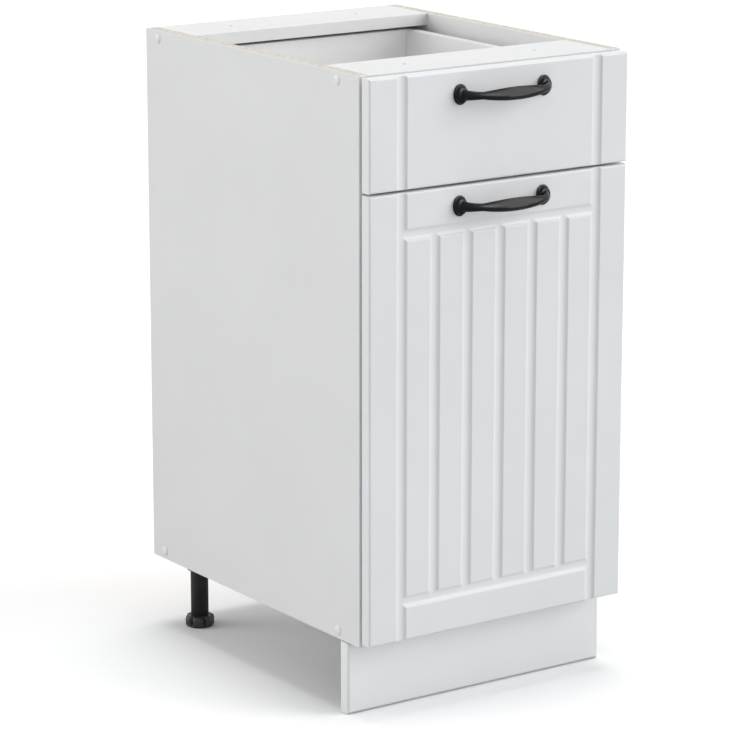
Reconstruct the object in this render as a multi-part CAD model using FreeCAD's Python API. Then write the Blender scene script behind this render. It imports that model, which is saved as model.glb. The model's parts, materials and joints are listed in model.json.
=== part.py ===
import FreeCAD
import Part

import math
import os

from FreeCAD import Vector

# Kitchen base cabinet: one drawer over one right-hung door, on four levelling legs behind a plinth.
# Millimetres, +Z up, fronts face -Y, origin at the middle of the floor under the whole cabinet.

# Carcass
cabinet_width = 400.0
carcass_height = 720.0
carcass_depth = 495.0
board = 16.0
back_sheet = 3.0
back_sheet_margin = 1.0
rail_depth = 96.0
edge_ease = 0.6
leg_space = 96.0

# Fronts
front_board = 16.0
front_gap = 3.0
front_side_reveal = 2.0
front_top_reveal = 2.0
front_split = 3.0
drawer_front_height = 140.0
door_bottom_reveal = 5.0
front_edge_radius = 3.0

# Routed coves in the fronts
cove_width = 15.0
cove_depth = 3.0
cove_pitch = 49.8
cove_count = 7
upper_cross_drop = 53.0
lower_cross_rise = 50.0
cove_overrun = 10.0
cove_stop_short = 1.0

# Cast bow handles
handle_centres = 128.0
handle_reach = 31.0
handle_bow_power = 2.5
handle_sections = 13
handle_first_turn = 4.0
handle_tangent_step = 1.0
grip_height = 15.6
grip_depth = 9.0
grip_half_length = 50.0
waist_height = 7.0
neck_height = 12.5
neck_depth = 8.0
neck_flare_power = 6
rosette_width = 20.0
rosette_height = 26.0
rosette_base = 3.0
rosette_crown = 8.0
rosette_crown_share = 0.84
rosette_round = 1.2
drawer_handle_drop = 30.0
door_handle_drop = 25.0
handle_screw_radius = 2.0
handle_screw_bite = 9.0
handle_screw_head_radius = 4.0
handle_screw_head = 2.2

# Carcass screws, their caps and dowels
screw_from_edge = 11.0
screw_inset_front = 47.0
screw_inset_rear = 31.0
screw_length = 50.0
screw_shank_radius = 3.5
screw_core_radius = 2.5
screw_head_radius = 5.0
screw_head = 3.0
screw_socket_radius = 2.1
screw_socket = 3.5
cap_radius = 6.5
cap_height = 2.2
cap_peg_radius = 2.0
cap_peg = 3.0
dowel_radius = 4.0
dowel_in_side = 11.0
dowel_in_end = 19.0
rail_dowel_inset = 76.0
bottom_dowel_inset = 150.0
bore_play = 0.1

# Nails of the back sheet
nail_radius = 0.8
nail_length = 18.0
nail_head_radius = 1.8
nail_head = 0.8
nail_rows = 6
nail_end_margin = 60.0
nail_rail_offset = 70.0

# Worktop fixing holes in the rails
worktop_hole_radius = 2.5
worktop_hole_spacing = 200.0

# Shelf
shelf_level = 294.0
shelf_side_play = 1.0
shelf_front_inset = 25.0
shelf_rear_play = 4.0
pin_stem_radius = 2.5
pin_stem = 8.0
pin_peg_radius = 3.0
pin_peg = 9.0
pin_hole_spare = 1.0
pin_row_pitch = 32.0
pin_row_steps = 2
pin_row_front = 60.0
pin_row_rear = 70.0

# Plinth and its clips
plinth_setback = 25.0
plinth_play = 1.0
clip_bottom = 40.0
clip_height = 22.0
clip_plate_width = 40.0
clip_plate = 3.0
clip_neck_width = 10.0
clip_wall = 2.6
clip_play = 0.15
clip_mouth_share = 0.8
clip_screw_spacing = 28.0
clip_screw_radius = 1.6
clip_screw_bite = 11.0
clip_screw_head_radius = 3.2
clip_screw_head = 2.0

# Legs and feet
front_leg_from_side = 50.0
rear_leg_from_side = 42.0
leg_plinth_gap = 3.0
leg_from_rear = 50.0
leg_tube_radius = 12.0
leg_bore_radius = 8.5
leg_bore = 52.0
leg_flange_width = 56.0
leg_flange_depth = 60.0
leg_flange = 5.0
leg_flange_corner = 9.0
leg_collar_radius = 17.5
leg_collar_foot_radius = 16.5
leg_collar = 11.0
leg_screw_spacing_x = 42.0
leg_screw_spacing_y = 44.0
leg_screw_radius = 1.75
leg_screw_bite = 7.5
leg_screw_head_radius = 3.6
leg_screw_head = 2.0
foot_radius = 19.5
foot_height = 15.0
foot_edge = 2.0
foot_stem_play = 0.3
foot_stem = 44.0
foot_notches = 6
foot_notch_radius = 3.2
foot_first_notch = 35.0

# Drawer box
drawer_side_board = 12.0
drawer_back_board = 12.0
drawer_side_height = 104.5
drawer_top_drop = 21.5
drawer_length = 425.0
drawer_sheet = 3.0
drawer_sheet_rise = 14.0
drawer_groove = 6.0
groove_play = 0.2
drawer_screw_radius = 2.2
drawer_screw_head_radius = 3.8
drawer_screw_head = 2.4
drawer_screw_length = 40.0
drawer_fixing_low = 38.0
drawer_fixing_high = 78.0
cam_radius = 7.5
cam_depth = 9.0
cam_from_end = 24.0
cam_play = 0.1
cam_bolt_neck_radius = 2.2
cam_bolt_thread_radius = 2.9
cam_bolt_bite = 10.0
cam_bolt_head_radius = 3.3
cam_bolt_head = 4.0
cam_mouth_radius = 3.6
cam_bolt_hole_radius = 4.0

# Drawer runners and rollers
runner_gap = 12.5
steel = 1.2
runner_length = 400.0
runner_front_inset = 2.0
runner_lip = 2.0
runner_lip_gap = 0.9
runner_upper_flange = 8.0
runner_flange_play = 2.2
runner_stop_play = 0.3
drawer_runner_inset = 2.0
roller_radius = 7.5
roller_rise = 8.7
roller_play = 0.3
roller_side_play = 0.4
roller_end_inset = 1.0
roller_round = 0.8
roller_flange_short = 1.8
axle_radius = 2.0
axle_fit = 0.05
axle_head_radius = 3.2
axle_head = 0.8
axle_end_play = 0.1
runner_screw_radius = 2.4
runner_screw_bite = 10.0
runner_screw_head_radius = 4.2
thin_head = 1.2
runner_screw_count = 3
runner_screw_margin = 50.0
drawer_screw_head_small = 3.0
box_screw_radius = 1.75
box_screw_bite = 8.5

# Cup hinges, hung on the right
hinge_from_end = 100.0
hinge_pivot_from_edge = 6.5
hinge_cup_radius = 17.5
hinge_cup_depth = 12.0
hinge_cup_wall = 0.8
hinge_cup_from_edge = 20.5
hinge_cup_play = 0.1
hinge_flange = 0.9
hinge_flange_radius = 19.5
hinge_wing_height = 60.0
hinge_wing_width = 16.0
hinge_wing_corner = 4.0
cup_screw_spacing = 48.0
cup_screw_offset = 9.5
cup_screw_radius = 1.75
cup_screw_bite = 10.0
cup_screw_head_radius = 3.2
hinge_notch_half = 5.0
hinge_pin_radius = 1.1
hinge_pin_half = 9.0
hinge_boss_radius = 2.6
hinge_pin_fit = 0.05
hinge_knuckle_radius = 2.2
hinge_neck_half = 4.0
hinge_strip = 2.4
hinge_bend = 3.0
hinge_arm_offset = 4.0
hinge_arm_half = 6.6
hinge_arm_start = 5.0
hinge_arm_end = 64.0
hinge_arm_rib = 1.2
hinge_arm_rib_play = 0.2
hinge_plate_row = 37.0
hinge_plate_start = 22.0
hinge_plate_end = 60.0
hinge_plate_wing = 2.0
hinge_plate_wing_height = 50.0
hinge_plate_wing_width = 13.0
hinge_plate_corner = 4.0
plate_screw_spacing = 32.0
plate_screw_radius = 2.5
plate_screw_bite = 10.0
plate_screw_head_radius = 4.2
arm_screw_row = 51.0
arm_screw_radius = 2.0
arm_screw_head_radius = 3.6
arm_screw_head = 1.6
arm_screw_tip = 0.8

# Door bumpers
bumper_radius = 4.0
bumper_play = 0.2
bumper_round = 0.6
bumper_inset_x = 8.0
bumper_inset_z = 20.0

# Places worked out from the sizes above
half_width = cabinet_width / 2
inner_half = half_width - board
handle_projection = handle_reach + grip_depth / 2
total_depth = handle_projection + front_board + front_gap + carcass_depth
y_face = handle_projection - total_depth / 2
y_front_back = y_face + front_board
y_carcass = y_front_back + front_gap
y_rear = total_depth / 2
y_sheet = y_rear - back_sheet
z_bottom = leg_space
z_top = leg_space + carcass_height
z_front_top = z_top - front_top_reveal
z_drawer_front = z_front_top - drawer_front_height
z_door_top = z_drawer_front - front_split
z_door_bottom = z_bottom + door_bottom_reveal
front_half = half_width - front_side_reveal
drawer_outer = inner_half - runner_gap
drawer_inner = drawer_outer - drawer_side_board
drawer_top = z_top - drawer_top_drop
drawer_base = drawer_top - drawer_side_height
y_drawer_end = y_front_back + drawer_length
y_drawer_back = y_drawer_end - drawer_back_board
z_groove = drawer_base + drawer_sheet_rise
z_groove_top = z_groove + drawer_sheet + groove_play
z_roller = drawer_base + roller_rise
z_track = z_roller - roller_radius - roller_play
z_drawer_flange = z_roller + roller_radius + roller_play
z_runner_top = z_drawer_flange + steel + runner_flange_play + steel
x_lip = drawer_outer + steel + runner_lip_gap
x_roller = x_lip + steel + roller_side_play
x_web = inner_half - steel
x_roller_end = x_web - thin_head - roller_side_play - axle_end_play - axle_head
y_runner = y_carcass + runner_front_inset
y_drawer_runner = y_front_back + drawer_runner_inset
y_drawer_runner_end = y_drawer_runner + runner_length
y_runner_end = y_drawer_runner_end + runner_stop_play + steel
y_drawer_roller = y_drawer_runner_end - roller_radius - roller_end_inset
y_cabinet_roller = y_runner + roller_radius + roller_end_inset
z_shelf = z_bottom + shelf_level
z_pin = z_shelf - pin_peg_radius
y_pivot = y_face + front_board / 2
x_pivot = front_half - hinge_pivot_from_edge
x_cup = front_half - hinge_cup_from_edge
x_arm = inner_half - hinge_arm_offset
hinge_levels = (z_door_bottom + hinge_from_end, z_door_top - hinge_from_end)
y_front_leg = y_carcass + plinth_setback + board + leg_plinth_gap + leg_flange_depth / 2
front_leg = Vector(half_width - front_leg_from_side, y_front_leg, 0)
rear_leg = Vector(half_width - rear_leg_from_side, y_rear - leg_from_rear, 0)
screw_rows = (y_carcass + screw_inset_front, y_rear - screw_inset_rear)
screw_levels = (z_bottom + screw_from_edge, z_top - screw_from_edge)
drawer_fixing_levels = (drawer_base + drawer_fixing_low, drawer_base + drawer_fixing_high)
dowel_places = (
    (y_carcass + rail_dowel_inset, z_top - board / 2),
    (y_sheet - rail_dowel_inset, z_top - board / 2),
    (y_carcass + bottom_dowel_inset, z_bottom + board / 2),
    (y_sheet - bottom_dowel_inset, z_bottom + board / 2),
)
handle_levels = {"drawer": z_front_top - drawer_handle_drop, "door": z_door_top - door_handle_drop}
AXIS_X = Vector(1, 0, 0)
AXIS_Y = Vector(0, 1, 0)
AXIS_Z = Vector(0, 0, 1)
ORIGIN = Vector(0, 0, 0)
FULL_TURN = 360.0
QUARTER_TURN = 90.0


def block(x0, x1, y0, y1, z0, z1):
    return Part.makeBox(x1 - x0, y1 - y0, z1 - z0, Vector(x0, y0, z0))


def rod(radius, length, start, direction):
    return Part.makeCylinder(radius, length, start, direction)


def eased_board(x0, x1, y0, y1, z0, z1):
    panel = block(x0, x1, y0, y1, z0, z1)
    return panel.makeChamfer(edge_ease, panel.Edges)


def mirrored(shape):
    return shape.mirror(ORIGIN, AXIS_X)


def both_sides(shapes):
    return Part.makeCompound(list(shapes) + [mirrored(shape) for shape in shapes])


def prism(points, direction):
    wire = Part.makePolygon(points + [points[0]])
    return Part.Face(wire).extrude(direction)


def lathe(start, axis, steps):
    # A turned piece of plain cylinders: each step is a radius and a length along the axis.
    body = None
    place = start
    for radius, length in steps:
        step = rod(radius, length, place, axis)
        body = step if body is None else body.fuse(step)
        place = place + axis * length
    return body.removeSplitter()


def rounded_plate(width, height, thickness, corner):
    # A plate about the Z axis, standing on the XY plane.
    plate = block(-width / 2, width / 2, -height / 2, height / 2, 0, thickness)
    return plate.makeFillet(corner, upright_edges(plate))


def upright_edges(shape):
    found = []
    for edge in shape.Edges:
        run = edge.lastVertex().Point - edge.firstVertex().Point
        if abs(run.x) + abs(run.y) < abs(run.z):
            found.append(edge)
    return found


# Carcass boards

def carcass_screw_bores():
    bores = []
    for y in screw_rows:
        for z in screw_levels:
            outside = Vector(half_width, y, z)
            bores.append(rod(screw_shank_radius + bore_play, board, outside, -AXIS_X))
            bores.append(
                Part.makeCone(
                    screw_head_radius + bore_play,
                    screw_shank_radius + bore_play,
                    screw_head,
                    outside,
                    -AXIS_X,
                )
            )
            inside = Vector(inner_half, y, z)
            core_length = screw_length - board + bore_play
            bores.append(rod(screw_core_radius + bore_play, core_length, inside, -AXIS_X))
    return bores


def dowel_bores():
    bores = []
    for y, z in dowel_places:
        start = Vector(inner_half + dowel_in_side + bore_play, y, z)
        length = dowel_in_side + dowel_in_end + 2 * bore_play
        bores.append(rod(dowel_radius + bore_play, length, start, -AXIS_X))
    return bores


def shelf_pin_bores():
    bores = []
    for y in (y_carcass + pin_row_front, y_sheet - pin_row_rear):
        for step in range(-pin_row_steps, pin_row_steps + 1):
            mouth = Vector(inner_half, y, z_pin + step * pin_row_pitch)
            bores.append(rod(pin_stem_radius, pin_stem + pin_hole_spare, mouth, AXIS_X))
    return bores


def runner_screw_rows():
    span = runner_length - 2 * runner_screw_margin
    return [runner_screw_margin + span * i / (runner_screw_count - 1) for i in range(runner_screw_count)]


def runner_screw_bores():
    bores = []
    for row in runner_screw_rows():
        mouth = Vector(inner_half - steel, y_runner + row, z_roller)
        bores.append(rod(runner_screw_radius, steel + runner_screw_bite, mouth, AXIS_X))
    return bores


def plate_screw_bores():
    bores = []
    for level in hinge_levels:
        for side in (-1, 1):
            z = level + side * plate_screw_spacing / 2
            mouth = Vector(inner_half - hinge_plate_wing, y_carcass + hinge_plate_row, z)
            bores.append(rod(plate_screw_radius, hinge_plate_wing + plate_screw_bite, mouth, AXIS_X))
    return bores


def nail_places():
    places = []
    rise = (carcass_height - 2 * nail_end_margin) / (nail_rows - 1)
    for row in range(nail_rows):
        z = z_bottom + nail_end_margin + row * rise
        places.append((half_width - board / 2, z))
        places.append((board / 2 - half_width, z))
    for z in (z_bottom + board / 2, z_top - board / 2):
        places.append((nail_rail_offset, z))
        places.append((-nail_rail_offset, z))
    return places


def nail(x, z):
    tip = Vector(x, y_rear - nail_length, z)
    return lathe(tip, AXIS_Y, ((nail_radius, nail_length - nail_head), (nail_head_radius, nail_head)))


def nail_group():
    return [nail(x, z) for x, z in nail_places()]


def side_panel(extra_bores):
    panel = eased_board(inner_half, half_width, y_carcass, y_sheet, z_bottom, z_top)
    bores = carcass_screw_bores() + dowel_bores() + shelf_pin_bores() + runner_screw_bores()
    return panel.cut(bores + extra_bores + nail_group())


def cross_board(y0, y1, z0):
    # A board between the sides, bored at both ends for the carcass screws and dowels.
    panel = eased_board(-inner_half, inner_half, y0, y1, z0, z0 + board)
    bores = carcass_screw_bores() + dowel_bores()
    return panel.cut(bores + [mirrored(bore) for bore in bores] + nail_group())


def worktop_rail(y0):
    rail = cross_board(y0, y0 + rail_depth, z_top - board)
    bores = []
    for x in (-worktop_hole_spacing / 2, worktop_hole_spacing / 2):
        under = Vector(x, y0 + rail_depth / 2, z_top - board)
        bores.append(rod(worktop_hole_radius, board, under, AXIS_Z))
    return rail.cut(bores)


def bottom_panel():
    return cross_board(y_carcass, y_sheet, z_bottom).cut(leg_screw_group())


def back_panel():
    reach = half_width - back_sheet_margin
    low = z_bottom + back_sheet_margin
    sheet = block(-reach, reach, y_sheet, y_rear, low, z_top - back_sheet_margin)
    return sheet.cut(nail_group())


def carcass_screw(y, z):
    outside = Vector(half_width, y, z)
    head = Part.makeCone(screw_head_radius, screw_shank_radius, screw_head, outside, -AXIS_X)
    shank = rod(screw_shank_radius, board, outside, -AXIS_X)
    core = rod(screw_core_radius, screw_length, outside, -AXIS_X)
    socket = rod(screw_socket_radius, screw_socket, outside, -AXIS_X)
    return head.fuse([shank, core]).removeSplitter().cut(socket)


def screw_cap(y, z):
    rim = Vector(half_width, y + cap_radius, z)
    crown = Vector(half_width + cap_height, y, z)
    ball_radius = (cap_radius ** 2 + cap_height ** 2) / (2 * cap_height)
    turn = math.asin(cap_radius / ball_radius) / 2
    middle_out = half_width + cap_height - ball_radius * (1 - math.cos(turn))
    middle = Vector(middle_out, y + ball_radius * math.sin(turn), z)
    centre = Vector(half_width, y, z)
    edges = [
        Part.makeLine(centre, rim),
        Part.Arc(rim, middle, crown).toShape(),
        Part.makeLine(crown, centre),
    ]
    dome = Part.Face(Part.Wire(edges)).revolve(centre, AXIS_X, FULL_TURN)
    return dome.fuse(rod(cap_peg_radius, cap_peg, centre, -AXIS_X)).removeSplitter()


def dowel(y, z):
    start = Vector(inner_half + dowel_in_side, y, z)
    peg = rod(dowel_radius, dowel_in_side + dowel_in_end, start, -AXIS_X)
    return peg.makeChamfer(edge_ease, [edge for edge in peg.Edges if edge.isClosed()])


# Shelf

def shelf_panel():
    reach = inner_half - shelf_side_play
    front = y_carcass + shelf_front_inset
    return eased_board(-reach, reach, front, y_sheet - shelf_rear_play, z_shelf, z_shelf + board)


def shelf_pin(y):
    tip = Vector(inner_half - pin_peg, y, z_pin)
    return lathe(tip, AXIS_X, ((pin_peg_radius, pin_peg), (pin_stem_radius, pin_stem)))


# Plinth

def plinth_panel():
    front = y_carcass + plinth_setback
    top = z_bottom - plinth_play
    panel = eased_board(-half_width, half_width, front, front + board, plinth_play, top)
    screws = clip_screws()
    return panel.cut(screws + [mirrored(screw) for screw in screws])


def plinth_clip():
    back = y_carcass + plinth_setback + board
    top = clip_bottom + clip_height
    half_plate = clip_plate_width / 2
    left = front_leg.x - half_plate
    right = front_leg.x + half_plate
    plate = block(left, right, back, back + clip_plate, clip_bottom, top)
    half_neck = clip_neck_width / 2
    neck = block(front_leg.x - half_neck, front_leg.x + half_neck, back, front_leg.y, clip_bottom, top)
    axis_foot = Vector(front_leg.x, front_leg.y, clip_bottom)
    inner_radius = leg_tube_radius + clip_play
    ring = rod(inner_radius + clip_wall, clip_height, axis_foot, AXIS_Z)
    bore = rod(inner_radius, clip_height, axis_foot, AXIS_Z)
    half_mouth = inner_radius * clip_mouth_share
    far = front_leg.y + 2 * inner_radius
    mouth = block(front_leg.x - half_mouth, front_leg.x + half_mouth, front_leg.y, far, clip_bottom, top)
    return plate.fuse([neck, ring]).removeSplitter().cut([bore, mouth] + clip_screws())


def clip_screws():
    back = y_carcass + plinth_setback + board + clip_plate
    shank = clip_plate + clip_screw_bite
    screws = []
    for side in (-1, 1):
        x = front_leg.x + side * clip_screw_spacing / 2
        tip = Vector(x, back - shank, clip_bottom + clip_height / 2)
        steps = ((clip_screw_radius, shank), (clip_screw_head_radius, clip_screw_head))
        screws.append(lathe(tip, AXIS_Y, steps))
    return screws


# Legs and feet

def leg(place):
    foot_top = place + AXIS_Z * foot_height
    tube = rod(leg_tube_radius, z_bottom - foot_height, foot_top, AXIS_Z)
    plate = rounded_plate(leg_flange_width, leg_flange_depth, leg_flange, leg_flange_corner)
    flange_foot = place + AXIS_Z * (z_bottom - leg_flange)
    plate.translate(flange_foot)
    collar = Part.makeCone(leg_collar_radius, leg_collar_foot_radius, leg_collar, flange_foot, -AXIS_Z)
    bore = rod(leg_bore_radius, leg_bore, foot_top, AXIS_Z)
    return tube.fuse([plate, collar]).removeSplitter().cut([bore] + leg_screws(place))


def leg_screws(place):
    head_foot = z_bottom - leg_flange - leg_screw_head
    screws = []
    for side_x in (-1, 1):
        for side_y in (-1, 1):
            x = place.x + side_x * leg_screw_spacing_x / 2
            start = Vector(x, place.y + side_y * leg_screw_spacing_y / 2, head_foot)
            steps = (
                (leg_screw_head_radius, leg_screw_head),
                (leg_screw_radius, leg_flange + leg_screw_bite),
            )
            screws.append(lathe(start, AXIS_Z, steps))
    return screws


def leg_screw_group():
    right = leg_screws(front_leg) + leg_screws(rear_leg)
    return right + [mirrored(screw) for screw in right]


def foot(place):
    disc = rod(foot_radius, foot_height, place, AXIS_Z)
    rims = [edge for edge in disc.Edges if edge.isClosed()]
    disc = disc.makeChamfer(foot_edge, rims)
    notches = []
    for i in range(foot_notches):
        turn = math.radians(foot_first_notch + FULL_TURN * i / foot_notches)
        middle = place + Vector(foot_radius * math.cos(turn), foot_radius * math.sin(turn), foot_edge)
        notches.append(rod(foot_notch_radius, foot_height, middle, AXIS_Z))
    stem_foot = place + AXIS_Z * foot_height
    stem = rod(leg_bore_radius - foot_stem_play, foot_stem, stem_foot, AXIS_Z)
    return disc.cut(notches).fuse(stem).removeSplitter()


# Fronts with routed coves

def cove(start, direction, length):
    radius = (cove_width ** 2 / 4 + cove_depth ** 2) / (2 * cove_depth)
    axis_start = Vector(start.x, y_face - radius + cove_depth, start.z)
    return rod(radius, length, axis_start, direction)


def front_blank(z0, z1):
    panel = block(-front_half, front_half, y_face, y_front_back, z0, z1)
    rims = []
    for edge in panel.Edges:
        if all(abs(vertex.Point.y - y_face) < front_edge_radius for vertex in edge.Vertexes):
            rims.append(edge)
    return panel.makeFillet(front_edge_radius, rims)


def upright_coves(count, z0, z1):
    first = -(cove_count - 1) / 2 * cove_pitch
    step = cove_pitch * (cove_count - 1) / (count - 1)
    return [cove(Vector(first + i * step, y_face, z0), AXIS_Z, z1 - z0) for i in range(count)]


def handle_screw_bores(z):
    bores = []
    for x in (-handle_centres / 2, handle_centres / 2):
        bores.append(rod(handle_screw_radius + bore_play, front_board, Vector(x, y_face, z), AXIS_Y))
    return bores


def drawer_front():
    panel = front_blank(z_drawer_front, z_front_top)
    for groove in upright_coves(2, z_drawer_front - cove_overrun, z_front_top + cove_overrun):
        panel = panel.cut(groove)
    cuts = handle_screw_bores(handle_levels["drawer"])
    reach = drawer_inner + drawer_groove
    depth = y_front_back - drawer_groove
    cuts.append(block(-reach, reach, depth, y_front_back, z_groove, z_groove_top))
    bolts = cam_bolts()
    return panel.cut(cuts + bolts + [mirrored(bolt) for bolt in bolts])


def door_panel():
    panel = front_blank(z_door_bottom, z_door_top)
    low = z_door_bottom + lower_cross_rise
    high = z_door_top - upper_cross_drop
    outer = (cove_count - 1) / 2 * cove_pitch
    grooves = upright_coves(2, z_door_bottom - cove_overrun, z_door_top + cove_overrun)
    for z in (low, high):
        start = Vector(cove_stop_short - outer, y_face, z)
        grooves.append(cove(start, AXIS_X, 2 * (outer - cove_stop_short)))
    grooves += upright_coves(cove_count, low + cove_stop_short, high - cove_stop_short)[1:-1]
    for groove in grooves:
        panel = panel.cut(groove)
    cuts = handle_screw_bores(handle_levels["door"])
    for level in hinge_levels:
        mouth = Vector(x_cup, y_front_back, level)
        depth = hinge_cup_depth + hinge_cup_play
        cuts.append(rod(hinge_cup_radius + hinge_cup_play, depth, mouth, -AXIS_Y))
    return panel.cut(cuts + cup_screw_group())


# Bow handles

def bow_point(turn):
    # The bow's middle line in plan: a squared arch from one foot to the other.
    power = 2 / handle_bow_power
    across = math.cos(turn)
    x = math.copysign(abs(across) ** power, across) * handle_centres / 2
    return Vector(x, -handle_reach * abs(math.sin(turn)) ** power, 0)


def oval(half_x, half_y):
    # An ellipse about the Z axis that starts on +X, whichever way it is longer.
    if half_x >= half_y:
        edge = Part.Ellipse(ORIGIN, half_x, half_y).toShape()
    else:
        upright = Part.Ellipse(Vector(0, half_y, 0), Vector(-half_x, 0, 0), ORIGIN)
        edge = upright.toShape(-math.pi / 2, 3 * math.pi / 2)
    return Part.Wire([edge])


def bow_section(turn):
    # An oval across the bow: a leaf-shaped grip between two slim waists that flare into the rosettes.
    ahead = bow_point(turn + math.radians(handle_tangent_step))
    behind = bow_point(turn - math.radians(handle_tangent_step))
    along = ahead - behind
    along.normalize()
    place = bow_point(turn)
    leaf = max(0.0, 1 - (place.x / grip_half_length) ** 2)
    flare = abs(2 * place.x / handle_centres) ** neck_flare_power
    height = waist_height + (grip_height - waist_height) * leaf + (neck_height - waist_height) * flare
    depth = neck_depth + (grip_depth - neck_depth) * leaf
    section = oval(height / 2, depth / 2)
    section.Placement = FreeCAD.Placement(place, FreeCAD.Rotation(AXIS_Z, ORIGIN, along, "ZXY"))
    return section


def rosette(x):
    base = Part.Face(oval(rosette_height / 2, rosette_width / 2)).extrude(AXIS_Z * rosette_base)
    rim = [edge for edge in base.Edges if edge.BoundBox.ZMin > rosette_base / 2]
    base = base.makeFillet(rosette_round, rim)
    crown_foot = oval(rosette_height / 2 * rosette_crown_share, rosette_width / 2 * rosette_crown_share)
    crown_top = oval(neck_height / 2, neck_depth / 2)
    crown_top.translate(AXIS_Z * rosette_crown)
    crown = Part.makeLoft([crown_foot, crown_top], True, True)
    piece = base.fuse(crown).removeSplitter()
    facing_front = FreeCAD.Rotation(AXIS_Z, ORIGIN, -AXIS_Y, "ZXY")
    piece.Placement = FreeCAD.Placement(Vector(x, 0, 0), facing_front)
    return piece


def bow_handle(z):
    first = math.radians(handle_first_turn)
    span = math.pi - 2 * first
    turns = [first + span * i / (handle_sections - 1) for i in range(handle_sections)]
    bow = Part.makeLoft([bow_section(turn) for turn in turns], True, False)
    body = bow.fuse([rosette(-handle_centres / 2), rosette(handle_centres / 2)])
    behind = block(-cabinet_width, cabinet_width, 0, handle_reach, -rosette_height, rosette_height)
    body = body.cut(behind)
    for x in (-handle_centres / 2, handle_centres / 2):
        body = body.cut(rod(handle_screw_radius, handle_screw_bite, Vector(x, 0, 0), -AXIS_Y))
    body.translate(Vector(0, y_face, z))
    return body


def handle_screws(z):
    shank = front_board + handle_screw_bite
    screws = []
    for x in (-handle_centres / 2, handle_centres / 2):
        tip = Vector(x, y_face - handle_screw_bite, z)
        steps = ((handle_screw_radius, shank), (handle_screw_head_radius, handle_screw_head))
        screws.append(lathe(tip, AXIS_Y, steps))
    return Part.makeCompound(screws)


# Drawer box

def drawer_side():
    panel = eased_board(drawer_inner, drawer_outer, y_front_back, y_drawer_end, drawer_base, drawer_top)
    cuts = [
        block(drawer_inner, drawer_inner + drawer_groove, y_front_back, y_drawer_end, z_groove, z_groove_top)
    ]
    for z in drawer_fixing_levels:
        y = y_front_back + cam_from_end
        cuts.append(rod(cam_radius, cam_depth, Vector(drawer_outer, y, z), -AXIS_X))
        mouth = Vector(drawer_outer - drawer_side_board / 2, y_front_back, z)
        cuts.append(rod(cam_bolt_hole_radius, cam_from_end, mouth, AXIS_Y))
    return panel.cut(cuts + drawer_screws() + box_screws())


def drawer_screws():
    screws = []
    for z in drawer_fixing_levels:
        y = y_drawer_back + drawer_back_board / 2
        outside = Vector(drawer_outer, y, z)
        head = Part.makeCone(
            drawer_screw_head_radius, drawer_screw_radius, drawer_screw_head, outside, -AXIS_X
        )
        shank = rod(drawer_screw_radius, drawer_screw_length, outside, -AXIS_X)
        screws.append(head.fuse(shank).removeSplitter())
    return screws


def drawer_back():
    panel = eased_board(-drawer_inner, drawer_inner, y_drawer_back, y_drawer_end, z_groove_top, drawer_top)
    screws = drawer_screws()
    return panel.cut(screws + [mirrored(screw) for screw in screws])


def drawer_bottom():
    reach = drawer_inner + drawer_groove - groove_play
    front = y_front_back - drawer_groove + groove_play
    low = z_groove + groove_play / 2
    return block(-reach, reach, front, y_drawer_end, low, low + drawer_sheet)


def cam_bolts():
    bolts = []
    for z in drawer_fixing_levels:
        tip = Vector(drawer_outer - drawer_side_board / 2, y_front_back - cam_bolt_bite, z)
        steps = (
            (cam_bolt_thread_radius, cam_bolt_bite),
            (cam_bolt_neck_radius, cam_from_end - cam_bolt_head),
            (cam_bolt_head_radius, cam_bolt_head),
        )
        bolts.append(lathe(tip, AXIS_Y, steps))
    return bolts


def cams():
    pieces = []
    for z in drawer_fixing_levels:
        y = y_front_back + cam_from_end
        face = Vector(drawer_outer, y, z)
        disc = rod(cam_radius - cam_play, cam_depth - cam_play, face, -AXIS_X)
        mouth = Vector(drawer_outer - drawer_side_board / 2, y_front_back, z)
        slot = rod(cam_mouth_radius, cam_from_end + groove_play, mouth, AXIS_Y)
        pieces.append(disc.cut(slot))
    return pieces


# Runners and rollers

def cabinet_runner():
    foot = z_track - steel
    head = z_runner_top
    flange = inner_half - runner_upper_flange
    y = y_runner
    points = [
        Vector(inner_half, y, head),
        Vector(inner_half, y, foot),
        Vector(x_lip, y, foot),
        Vector(x_lip, y, z_track + runner_lip),
        Vector(x_lip + steel, y, z_track + runner_lip),
        Vector(x_lip + steel, y, z_track),
        Vector(x_web, y, z_track),
        Vector(x_web, y, head - steel),
        Vector(flange, y, head - steel),
        Vector(flange, y, head),
    ]
    channel = prism(points, AXIS_Y * (y_runner_end - y_runner))
    stop = block(x_lip + steel, x_web, y_runner_end - steel, y_runner_end, z_track, head - steel)
    axle_bore = rod(axle_radius, steel, Vector(x_web, y_cabinet_roller, z_roller), AXIS_X)
    return channel.fuse(stop).removeSplitter().cut(runner_screw_bores() + [axle_bore])


def drawer_runner():
    foot = drawer_base - steel
    y = y_drawer_runner
    reach = x_web - roller_flange_short
    points = [
        Vector(drawer_inner, y, foot),
        Vector(drawer_outer + steel, y, foot),
        Vector(drawer_outer + steel, y, z_drawer_flange),
        Vector(reach, y, z_drawer_flange),
        Vector(reach, y, z_drawer_flange + steel),
        Vector(drawer_outer, y, z_drawer_flange + steel),
        Vector(drawer_outer, y, drawer_base),
        Vector(drawer_inner, y, drawer_base),
    ]
    rail = prism(points, AXIS_Y * runner_length)
    axle_bore = rod(axle_radius, steel, Vector(drawer_outer, y_drawer_roller, z_roller), AXIS_X)
    return rail.cut(box_screws() + [axle_bore])


def roller(y):
    wheel = rod(roller_radius, x_roller_end - x_roller, Vector(x_roller, y, z_roller), AXIS_X)
    rims = [edge for edge in wheel.Edges if edge.isClosed()]
    wheel = wheel.makeFillet(roller_round, rims)
    bore = rod(axle_radius + axle_fit, x_roller_end - x_roller, Vector(x_roller, y, z_roller), AXIS_X)
    return wheel.cut(bore)


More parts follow.
